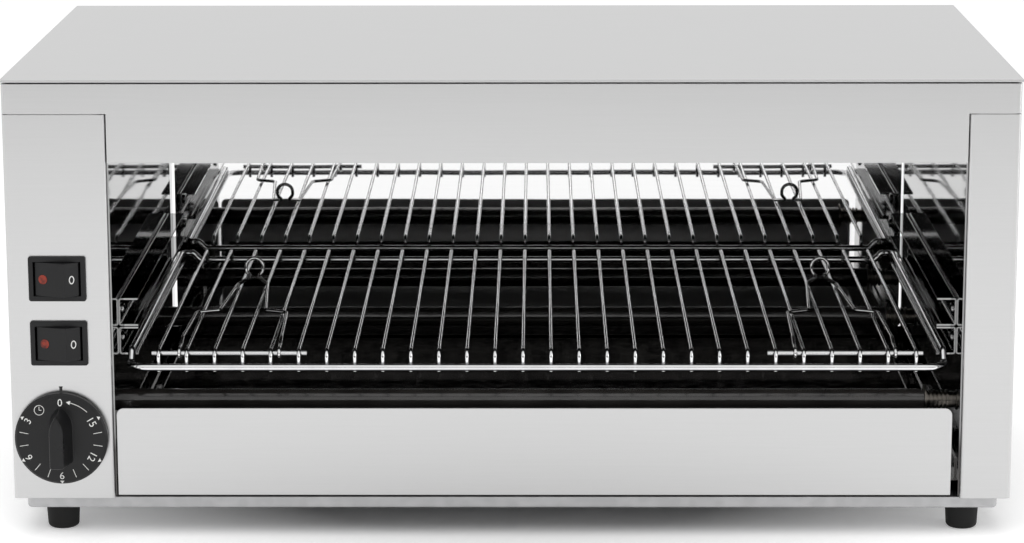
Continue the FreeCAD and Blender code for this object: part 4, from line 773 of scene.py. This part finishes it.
class TOASTER_OT_switches(bpy.types.Operator):
    """Dress the rocker switches and print their legends"""
    bl_idname = "toaster.switches"
    bl_label = "Switches"

    def execute(self, context):
        dress_nodes([switch_nylon, red_lens])
        panel_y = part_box("left_side_panel")[0][1]
        for level in SWITCHES:
            low, high = box_corners(level + "_switch_housing")
            centre = (low + high) / 2
            pivot = Vector((centre.x, panel_y + ROCKER_PIVOT_BEHIND_PANEL, centre.z))
            turn = Matrix.Rotation(ROCKER_REST_TILT, 3, "Z")
            ridge, end = (turn @ Vector((x, y - ROCKER_PIVOT_BEHIND_PANEL, 0)) + pivot
                          for x, y in (ROCKER_RIDGE, ROCKER_RIGHT_END))
            across = (end - ridge).normalized()
            up = Vector((0, 0, 1))
            outward = across.cross(up)
            middle = ridge.lerp(end, LEGEND_SHARE)
            ring = ring_on(middle, across, up, outward, LEGEND_WIDTH, LEGEND_HEIGHT, LEGEND_STROKE)
            new_piece(level + "_off_legend", *ring, white_ink, level + "_rocker", "black_switch_plastic")
        return {"FINISHED"}


# Timer

KNOB_SKIRT = 4.6 * MM
KNOB_FLAT_RADIUS = 18.0 * MM
KNOB_EDGE_RADIUS = 24.8 * MM
KNOB_EDGE_DROP = 0.533 * MM
NUMBERS = ("0", "15", "12", "9", "6", "3")
TICKS_DEGREES = (80, 100, 140, 160, 200, 220, 260, 280)
TICK_INNER = 18.4 * MM
TICK_OUTER = 23.4 * MM
TWO_DIGIT_INSET = 1.0 * MM
MARK_INNER = 24.0 * MM
MARK_OUTER = 25.7 * MM
MARK_HALF_WIDTH = 1.2 * MM
ARROW_RADIUS = 21.6 * MM
ARROW_START = 44
ARROW_END = 15
ARROW_TIP = 9
ARROW_HALF_WIDTH = 1.2 * MM
ARROW_STEPS = 12
CLOCK_DEGREES = 325
CLOCK_RADIUS = 20.4 * MM
CLOCK_SIZE = 2.7 * MM
CLOCK_STEPS = 28
LONG_HAND = 0.75 * CLOCK_SIZE
SHORT_HAND = 0.5 * CLOCK_SIZE
FONT_CAP_SHARE = 0.72
FONT_STEPS = 4
NUMBER_CUTS = 2
NUMBER_EDGE_SHARE = 0.25
INDEX_GAP = 0.4 * MM
INDEX_WIDTH = 1.6 * MM
INDEX_HEIGHT = 2.6 * MM
INDEX_FILM = 0.12 * MM
INDEX_OUTLINE = ((-0.5, 0), (0.5, 0), (0.5, 0.6), (0.72, 1), (-0.72, 1), (-0.5, 0.6))


def polar(degrees, radius):
    """Place on the dial, seen from the front: clockwise from the top, as across and up."""
    turn = math.radians(degrees)
    return radius * math.sin(turn), radius * math.cos(turn)


def strip(points, width):
    """Flat strip of even width along a line of points, as flat vertices and faces."""
    vertices = []
    for i, (x, z) in enumerate(points):
        before = points[max(i - 1, 0)]
        after = points[min(i + 1, len(points) - 1)]
        along = Vector((after[0] - before[0], after[1] - before[1])).normalized()
        side = Vector((-along.y, along.x)) * width / 2
        vertices.append((x + side.x, z + side.y))
        vertices.append((x - side.x, z - side.y))
    faces = [(2 * i, 2 * i + 1, 2 * i + 3, 2 * i + 2) for i in range(len(points) - 1)]
    return vertices, faces


def arc_points(radius, start, end, steps):
    """Places along an arc about the dial's middle, in degrees from the top."""
    return [polar(start + (end - start) * i / steps, radius) for i in range(steps + 1)]


def rim_mark(degrees):
    """Small triangle by a number, its tip at the rim."""
    turn = math.radians(degrees)
    out = Vector((math.sin(turn), math.cos(turn)))
    side = Vector((out.y, -out.x)) * MARK_HALF_WIDTH
    inner = out * MARK_INNER
    tip = out * MARK_OUTER
    points = [inner - side, inner + side, tip]
    return [(p.x, p.y) for p in points], [(0, 1, 2)]


def clock_sign(width):
    """Outline of a clock with two hands."""
    cx, cz = polar(CLOCK_DEGREES, CLOCK_RADIUS)
    rim = [(cx + x, cz + z) for x, z in arc_points(CLOCK_SIZE, 0, 360, CLOCK_STEPS)]
    long_hand = [(cx, cz), (cx, cz + LONG_HAND)]
    short_hand = [(cx, cz), (cx + SHORT_HAND, cz)]
    return [strip(rim, width), strip(long_hand, width), strip(short_hand, width)]


def arrow_sign(width):
    """Curved arrow towards the zero."""
    line = strip(arc_points(ARROW_RADIUS, ARROW_START, ARROW_END, ARROW_STEPS), width)
    left = polar(ARROW_END, ARROW_RADIUS - ARROW_HALF_WIDTH)
    right = polar(ARROW_END, ARROW_RADIUS + ARROW_HALF_WIDTH)
    tip = polar(ARROW_TIP, ARROW_RADIUS)
    return [line, ([left, right, tip], [(0, 1, 2)])]


def number_shape(text, degrees, radius, height):
    """Flat outline of a number with its top outwards, cut fine enough to bend over the skirt."""
    curve = bpy.data.curves.new("number", "FONT")
    curve.body = text
    curve.size = height / FONT_CAP_SHARE
    curve.align_x = "CENTER"
    curve.align_y = "CENTER"
    curve.resolution_u = FONT_STEPS
    holder = bpy.data.objects.new("number", curve)
    bpy.context.scene.collection.objects.link(holder)
    bpy.context.view_layer.update()
    mesh = bpy.data.meshes.new_from_object(holder.evaluated_get(bpy.context.evaluated_depsgraph_get()))
    shape = bmesh.new()
    shape.from_mesh(mesh)
    bmesh.ops.triangulate(shape, faces=shape.faces)
    long_edges = [e for e in shape.edges if e.calc_length() > height * NUMBER_EDGE_SHARE]
    bmesh.ops.subdivide_edges(shape, edges=long_edges, cuts=NUMBER_CUTS)
    bmesh.ops.triangulate(shape, faces=shape.faces)
    turn = Matrix.Rotation(-math.radians(degrees), 2)
    cx, cz = polar(degrees, radius)
    shape.verts.ensure_lookup_table()
    vertices = []
    for v in shape.verts:
        flat = turn @ Vector((v.co.x, v.co.y))
        vertices.append((flat.x + cx, flat.y + cz))
    faces = [tuple(v.index for v in f.verts) for f in shape.faces]
    shape.free()
    bpy.data.objects.remove(holder)
    bpy.data.meshes.remove(mesh)
    bpy.data.curves.remove(curve)
    return vertices, faces


def skirt_face(radius):
    """How far the skirt's face falls back at a distance from the knob's axis."""
    share = (radius - KNOB_FLAT_RADIUS) / (KNOB_EDGE_RADIUS - KNOB_FLAT_RADIUS)
    return KNOB_EDGE_DROP * max(0.0, share)


class TOASTER_OT_timer(bpy.types.Operator):
    """Dress the timer's knob and print its dial"""
    bl_idname = "toaster.timer"
    bl_label = "Timer"

    def execute(self, context):
        dial = context.scene.toaster_dial
        dress_nodes([moulded_phenolic])
        low, high = box_corners("timer_knob")
        centre = (low + high) / 2
        face = high.y - KNOB_SKIRT - PRINT_FILM
        step = 360 / dial.number_count
        parts = []
        for i, text in enumerate(NUMBERS[:dial.number_count]):
            radius = dial.digit_radius - (len(text) - 1) * TWO_DIGIT_INSET
            parts.append(number_shape(text, i * step, radius, dial.digit_height))
            if i:
                parts.append(rim_mark(i * step))
        for degrees in TICKS_DEGREES:
            parts.append(strip([polar(degrees, TICK_INNER), polar(degrees, TICK_OUTER)], dial.tick_width))
        parts.extend(clock_sign(dial.tick_width))
        parts.extend(arrow_sign(dial.tick_width))
        flat, faces = joined(parts)
        vertices = [(centre.x + x, face + skirt_face(math.hypot(x, z)), centre.z + z) for x, z in flat]
        new_piece("dial_print", vertices, faces, white_ink, "timer_control", "black_knob_plastic")
        self.index_mark(centre.x, high.z + INDEX_GAP)
        return {"FINISHED"}

    def index_mark(self, middle, bottom):
        """Black mark above the knob, where the dial is read."""
        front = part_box("left_side_panel")[0][1]
        corners = [(middle + x * INDEX_WIDTH, y, bottom + z * INDEX_HEIGHT)
                   for y in (front - INDEX_FILM, front) for x, z in INDEX_OUTLINE]
        count = len(INDEX_OUTLINE)
        faces = [tuple(range(count)), tuple(range(2 * count - 1, count - 1, -1))]
        for i in range(count):
            j = (i + 1) % count
            faces.append((i, i + count, j + count, j))
        new_piece("index_mark", corners, faces, black_ink, "casing", "brushed_stainless")


# Fasteners at the back

SCREW_HEAD_RADIUS = 3.5 * MM
SCREW_HEAD = 2.2 * MM
SCREW_ROUND = 1.1 * MM
RECESS_REACH = 1.9 * MM
RECESS_WIDTH = 0.95 * MM
RECESS_DEPTH = 1.3 * MM
RECESS_BOTTOM_SHARE = 0.45
RECESS_TOP_SHARE = 1.1
HEAD_SIDES = 32
ROUND_STEPS = 5
SCREW_SEED = 3
SAME_PLACE = 0.001 * MM


def mesh_piece(vertices, faces):
    """Mesh object used for cutting, and removed afterwards."""
    mesh = bpy.data.meshes.new("shape")
    mesh.from_pydata([tuple(v) for v in vertices], [], faces)
    shape = bpy.data.objects.new("shape", mesh)
    bpy.context.scene.collection.objects.link(shape)
    return shape


def lathed(profile, sides):
    """Closed solid turned about Y from a profile of radius and height pairs."""
    vertices = [(0, profile[0][1], 0)]
    for radius, y in profile:
        for k in range(sides):
            turn = 2 * math.pi * k / sides
            vertices.append((radius * math.cos(turn), y, radius * math.sin(turn)))
    vertices.append((0, profile[-1][1], 0))
    last = len(vertices) - 1
    faces = []
    for k in range(sides):
        n = (k + 1) % sides
        faces.append((0, 1 + k, 1 + n))
        end = 1 + (len(profile) - 1) * sides
        faces.append((last, end + n, end + k))
        for i in range(len(profile) - 1):
            a = 1 + i * sides
            faces.append((a + k, a + k + sides, a + n + sides, a + n))
    return vertices, faces


def cross_recess():
    """Cross shaped tool of two tapered bars."""
    parts = []
    top = SCREW_HEAD + RECESS_WIDTH
    bottom = SCREW_HEAD - RECESS_DEPTH
    for swap in (False, True):
        vertices = []
        for y, share in ((bottom, RECESS_BOTTOM_SHARE), (top, RECESS_TOP_SHARE)):
            for a, b in ((-1, -1), (1, -1), (1, 1), (-1, 1)):
                x, z = a * RECESS_REACH * share, b * RECESS_WIDTH / 2
                vertices.append((z, y, x) if swap else (x, y, z))
        order = [(0, 1, 2, 3), (7, 6, 5, 4), (0, 4, 5, 1), (1, 5, 6, 2), (2, 6, 7, 3), (3, 7, 4, 0)]
        parts.append((vertices, order if swap else [face[::-1] for face in order]))
    return parts


def screw_head():
    """Pan head with a cross recess, its seat at the origin and its top towards +Y."""
    profile = [(SCREW_HEAD_RADIUS, 0.0), (SCREW_HEAD_RADIUS, SCREW_HEAD - SCREW_ROUND)]
    for i in range(1, ROUND_STEPS + 1):
        turn = math.pi / 2 * i / ROUND_STEPS
        profile.append((SCREW_HEAD_RADIUS - SCREW_ROUND * (1 - math.cos(turn)),
                        SCREW_HEAD - SCREW_ROUND * (1 - math.sin(turn))))
    head = mesh_piece(*lathed(profile, HEAD_SIDES))
    tools = [mesh_piece(*part) for part in cross_recess()]
    for tool in tools:
        cutter = head.modifiers.new("recess", "BOOLEAN")
        cutter.operation = "DIFFERENCE"
        cutter.solver = "EXACT"
        cutter.object = tool
    bpy.context.view_layer.update()
    made = bpy.data.meshes.new_from_object(head.evaluated_get(bpy.context.evaluated_depsgraph_get()))
    vertices = [v.co.copy() for v in made.vertices]
    faces = [tuple(p.vertices) for p in made.polygons]
    for shape in [head] + tools:
        bpy.data.objects.remove(shape)
    bpy.data.meshes.remove(made)
    return vertices, faces


def screw_places(node):
    """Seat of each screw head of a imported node, from the node's own separate solids."""
    shape = bmesh.new()
    shape.from_mesh(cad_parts[node].data)
    bmesh.ops.remove_doubles(shape, verts=shape.verts, dist=SAME_PLACE)
    seen = set()
    places = []
    for start in shape.verts:
        if start in seen:
            continue
        stack = [start]
        seen.add(start)
        group = []
        while stack:
            v = stack.pop()
            group.append(v.co.copy())
            for edge in v.link_edges:
                other = edge.other_vert(v)
                if other not in seen:
                    seen.add(other)
                    stack.append(other)
        xs = [p.x for p in group]
        zs = [p.z for p in group]
        places.append(Vector(((min(xs) + max(xs)) / 2, max(p.y for p in group) - SCREW_HEAD,
                              (min(zs) + max(zs)) / 2)))
    shape.free()
    return places


class TOASTER_OT_fasteners(bpy.types.Operator):
    """Cut the cross recess of the screws on the back"""
    bl_idname = "toaster.fasteners"
    bl_label = "Rear screws"

    def execute(self, context):
        vertices, faces = screw_head()
        dice = random.Random(SCREW_SEED)
        for node in ("back_screws", "lid_screws"):
            parts = []
            for place in screw_places(node):
                turn = Matrix.Rotation(dice.uniform(0, math.pi / 2), 3, "Y")
                parts.append(([turn @ v + place for v in vertices], faces))
            piece = new_piece(node + "_heads", *joined(parts), zinc_plate, "casing", "zinc_screws")
            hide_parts(node)
        return {"FINISHED"}


# Stage

# The dark card is seen only in reflections, where it paints a dark reflection into the polished chamber.
CARD_PLACE = (0.0, -2.65, 0.39)
CARD_SIZE = (7.0, 0.72)
TOP_PLACE = (-0.3, -1.5, 2.4)
TOP_SIZE = 2.6
SIDE_PLACE = (1.7, -0.6, 0.5)
SIDE_SIZE = (0.25, 0.95)
FRONT_PLACE = (0.0, -2.6, 0.54)
FRONT_SIZE = (3.2, 0.13)
# Distances from the middle over which the floor's lift rises; nearer the toaster the floor is left darker,
# painted shade on top of its real shadow.
LIFT_START = 0.15
LIFT_END = 0.37
FLOOR_DROP = 0.05 * MM
SENSOR_WIDTH = 36.0


def in_sight(tree):
    """1 for the camera, in reflections and through glass, and 0 for the light that falls on things."""
    path = add_node(tree, "ShaderNodeLightPath")
    either = add_node(tree, "ShaderNodeMath", {"operation": "MAXIMUM"},
                      {0: path.outputs["Is Camera Ray"], 1: path.outputs["Is Glossy Ray"]})
    return add_node(tree, "ShaderNodeMath", {"operation": "MAXIMUM"},
                    {0: either.outputs[0], 1: path.outputs["Is Transmission Ray"]}).outputs[0]


def make_world(stage):
    """White background where it is seen or mirrored, and an even light of its own strength."""
    world = bpy.data.worlds.new("pale_studio")
    bpy.context.scene.world = world
    world.use_nodes = True
    tree = world.node_tree
    tree.nodes.clear()
    sight = add_node(tree, "ShaderNodeBackground", {"Color": (1, 1, 1, 1), "Strength": 1.0})
    room = add_node(tree, "ShaderNodeBackground", {"Color": (1, 1, 1, 1), "Strength": stage.room_light})
    mixed = add_node(tree, "ShaderNodeMixShader",
                     links={0: in_sight(tree), 1: room.outputs[0], 2: sight.outputs[0]})
    add_node(tree, "ShaderNodeOutputWorld", links={"Surface": mixed.outputs[0]})


def stage_plane(name, width, height, matrix, material):
    """Flat sheet of the studio, which isn't part of the toaster."""
    vertices = [(-width / 2, -height / 2, 0), (width / 2, -height / 2, 0),
                (width / 2, height / 2, 0), (-width / 2, height / 2, 0)]
    mesh = bpy.data.meshes.new(name)
    mesh.from_pydata(vertices, [], [(0, 1, 2, 3)])
    mesh.materials.append(material)
    plane = bpy.data.objects.new(name, mesh)
    plane.matrix_world = matrix
    bpy.context.scene.collection.objects.link(plane)
    return plane


def floor_finish(stage):
    """Seamless white studio paper, matt, lifted to white where it is seen or mirrored."""
    material, tree, shader = new_material("studio_paper", {
        "Specular IOR Level": 0.0, "Emission Color": (1, 1, 1, 1)})
    colour = stage.floor_colour
    worn(tree, shader, grained(tree, 0.4), scaled(colour, 0.995), colour, (0.88, 0.94))
    place = add_node(tree, "ShaderNodeTexCoord")
    away = add_node(tree, "ShaderNodeVectorMath", {"operation": "LENGTH"}, {0: place.outputs["Object"]})
    # The lift fades out towards the toaster, so the floor round it stays darker: painted shade added to its
    # real shadow.
    lift = add_node(tree, "ShaderNodeMapRange", {
        "From Min": LIFT_START, "From Max": LIFT_END, "To Max": stage.floor_lift},
        {"Value": away.outputs["Value"]})
    seen = add_node(tree, "ShaderNodeMath", {"operation": "MULTIPLY"},
                    {0: lift.outputs["Result"], 1: in_sight(tree)})
    tree.links.new(shader.inputs["Emission Strength"], seen.outputs[0])
    return material


def dark_reflection_finish():
    """Black studio cloth behind the camera, seen only in reflections: it paints a dark reflection into the
    polished chamber.
    """
    material, tree, shader = new_material("studio_cloth_painted_reflection", {"Specular IOR Level": 0.0})
    worn(tree, shader, grained(tree, 0.5), linear("#1A1A1A"), linear("#303030"), (0.95, 1.0))
    return material


def aimed(place, target):
    """Matrix of a lamp at a place, turned towards a target."""
    look = Vector(target) - Vector(place)
    return Matrix.Translation(place) @ look.to_track_quat("-Z", "Y").to_matrix().to_4x4()


def area_light(name, place, target, size, power):
    """Rectangular lamp aimed at a target, of a power in watts."""
    lamp = bpy.data.lights.new(name, "AREA")
    lamp.shape = "RECTANGLE"
    lamp.size, lamp.size_y = size
    lamp.energy = power
    holder = bpy.data.objects.new(name, lamp)
    holder.matrix_world = aimed(place, target)
    bpy.context.scene.collection.objects.link(holder)
    return holder


class TOASTER_OT_stage(bpy.types.Operator):
    """Set the pale floor, the soft light and the camera"""
    bl_idname = "toaster.stage"
    bl_label = "Stage"

    def execute(self, context):
        scene = context.scene
        stage = scene.toaster_stage
        scene.view_settings.view_transform = "Standard"
        make_world(stage)
        below = Matrix.Translation((0, 0, -FLOOR_DROP))
        stage_plane("floor", stage.floor_size, stage.floor_size, below, floor_finish(stage))
        middle = (CAD_BOX[0] + CAD_BOX[1]) / 2
        upright = Matrix.Translation(CARD_PLACE) @ Matrix.Rotation(math.pi / 2, 4, "X")
        card = stage_plane("dark_reflection_card", *CARD_SIZE, upright, dark_reflection_finish())
        # Seen only in reflections: the card neither lights nor shades anything, it is painted dark
        # reflection.
        card.visible_camera = False
        card.visible_diffuse = False
        card.visible_shadow = False
        top = area_light("top_softbox", TOP_PLACE, middle, (TOP_SIZE, TOP_SIZE), stage.top_light)
        top.visible_glossy = False
        area_light("side_strip", SIDE_PLACE, middle, SIDE_SIZE, stage.side_light)
        front = area_light("front_strip", FRONT_PLACE, middle, FRONT_SIZE, stage.front_light)
        front.visible_diffuse = False
        camera = bpy.data.cameras.new("camera")
        camera.sensor_width = SENSOR_WIDTH
        camera.lens = stage.camera_lens
        holder = bpy.data.objects.new("camera", camera)
        turn = (Matrix.Rotation(stage.camera_yaw, 4, "Z")
                @ Matrix.Rotation(math.pi / 2 - stage.camera_pitch, 4, "X")
                @ Matrix.Rotation(stage.camera_roll, 4, "Z"))
        holder.matrix_world = Matrix.Translation(stage.camera_place) @ turn
        scene.collection.objects.link(holder)
        scene.camera = holder
        return {"FINISHED"}


class TOASTER_PT_panel(bpy.types.Panel):
    """Lists the steps that dress the toaster"""
    bl_label = "Toaster"
    bl_idname = "TOASTER_PT_panel"
    bl_space_type = "VIEW_3D"
    bl_region_type = "UI"
    bl_category = "Toaster"

    def draw(self, context):
        for step in STEPS:
            self.layout.operator(step.bl_idname)
        for name, kind in SETTINGS.items():
            box = self.layout.box()
            group = getattr(context.scene, name)
            for key in kind.__annotations__:
                box.prop(group, key)


STEPS = (TOASTER_OT_stage, TOASTER_OT_casing, TOASTER_OT_chamber, TOASTER_OT_heater, TOASTER_OT_rack,
         TOASTER_OT_switches, TOASTER_OT_timer, TOASTER_OT_fasteners)
SETTINGS = {
    "toaster_stage": StageSettings,
    "toaster_casing": CasingSettings,
    "toaster_chamber": ChamberSettings,
    "toaster_heater": HeaterSettings,
    "toaster_dial": DialSettings,
}


def register():
    for kind in (*SETTINGS.values(), *STEPS, TOASTER_PT_panel):
        bpy.utils.register_class(kind)
    for name, kind in SETTINGS.items():
        setattr(bpy.types.Scene, name, PointerProperty(type=kind))


def unregister():
    for name in SETTINGS:
        delattr(bpy.types.Scene, name)
    for kind in (TOASTER_PT_panel, *STEPS[::-1], *reversed(SETTINGS.values())):
        bpy.utils.unregister_class(kind)


def main():
    register()
    bpy.ops.toaster.stage()
    bpy.ops.toaster.casing()
    bpy.ops.toaster.chamber()
    bpy.ops.toaster.heater()
    bpy.ops.toaster.rack()
    bpy.ops.toaster.switches()
    bpy.ops.toaster.timer()
    bpy.ops.toaster.fasteners()


if __name__ == "__main__":
    main()
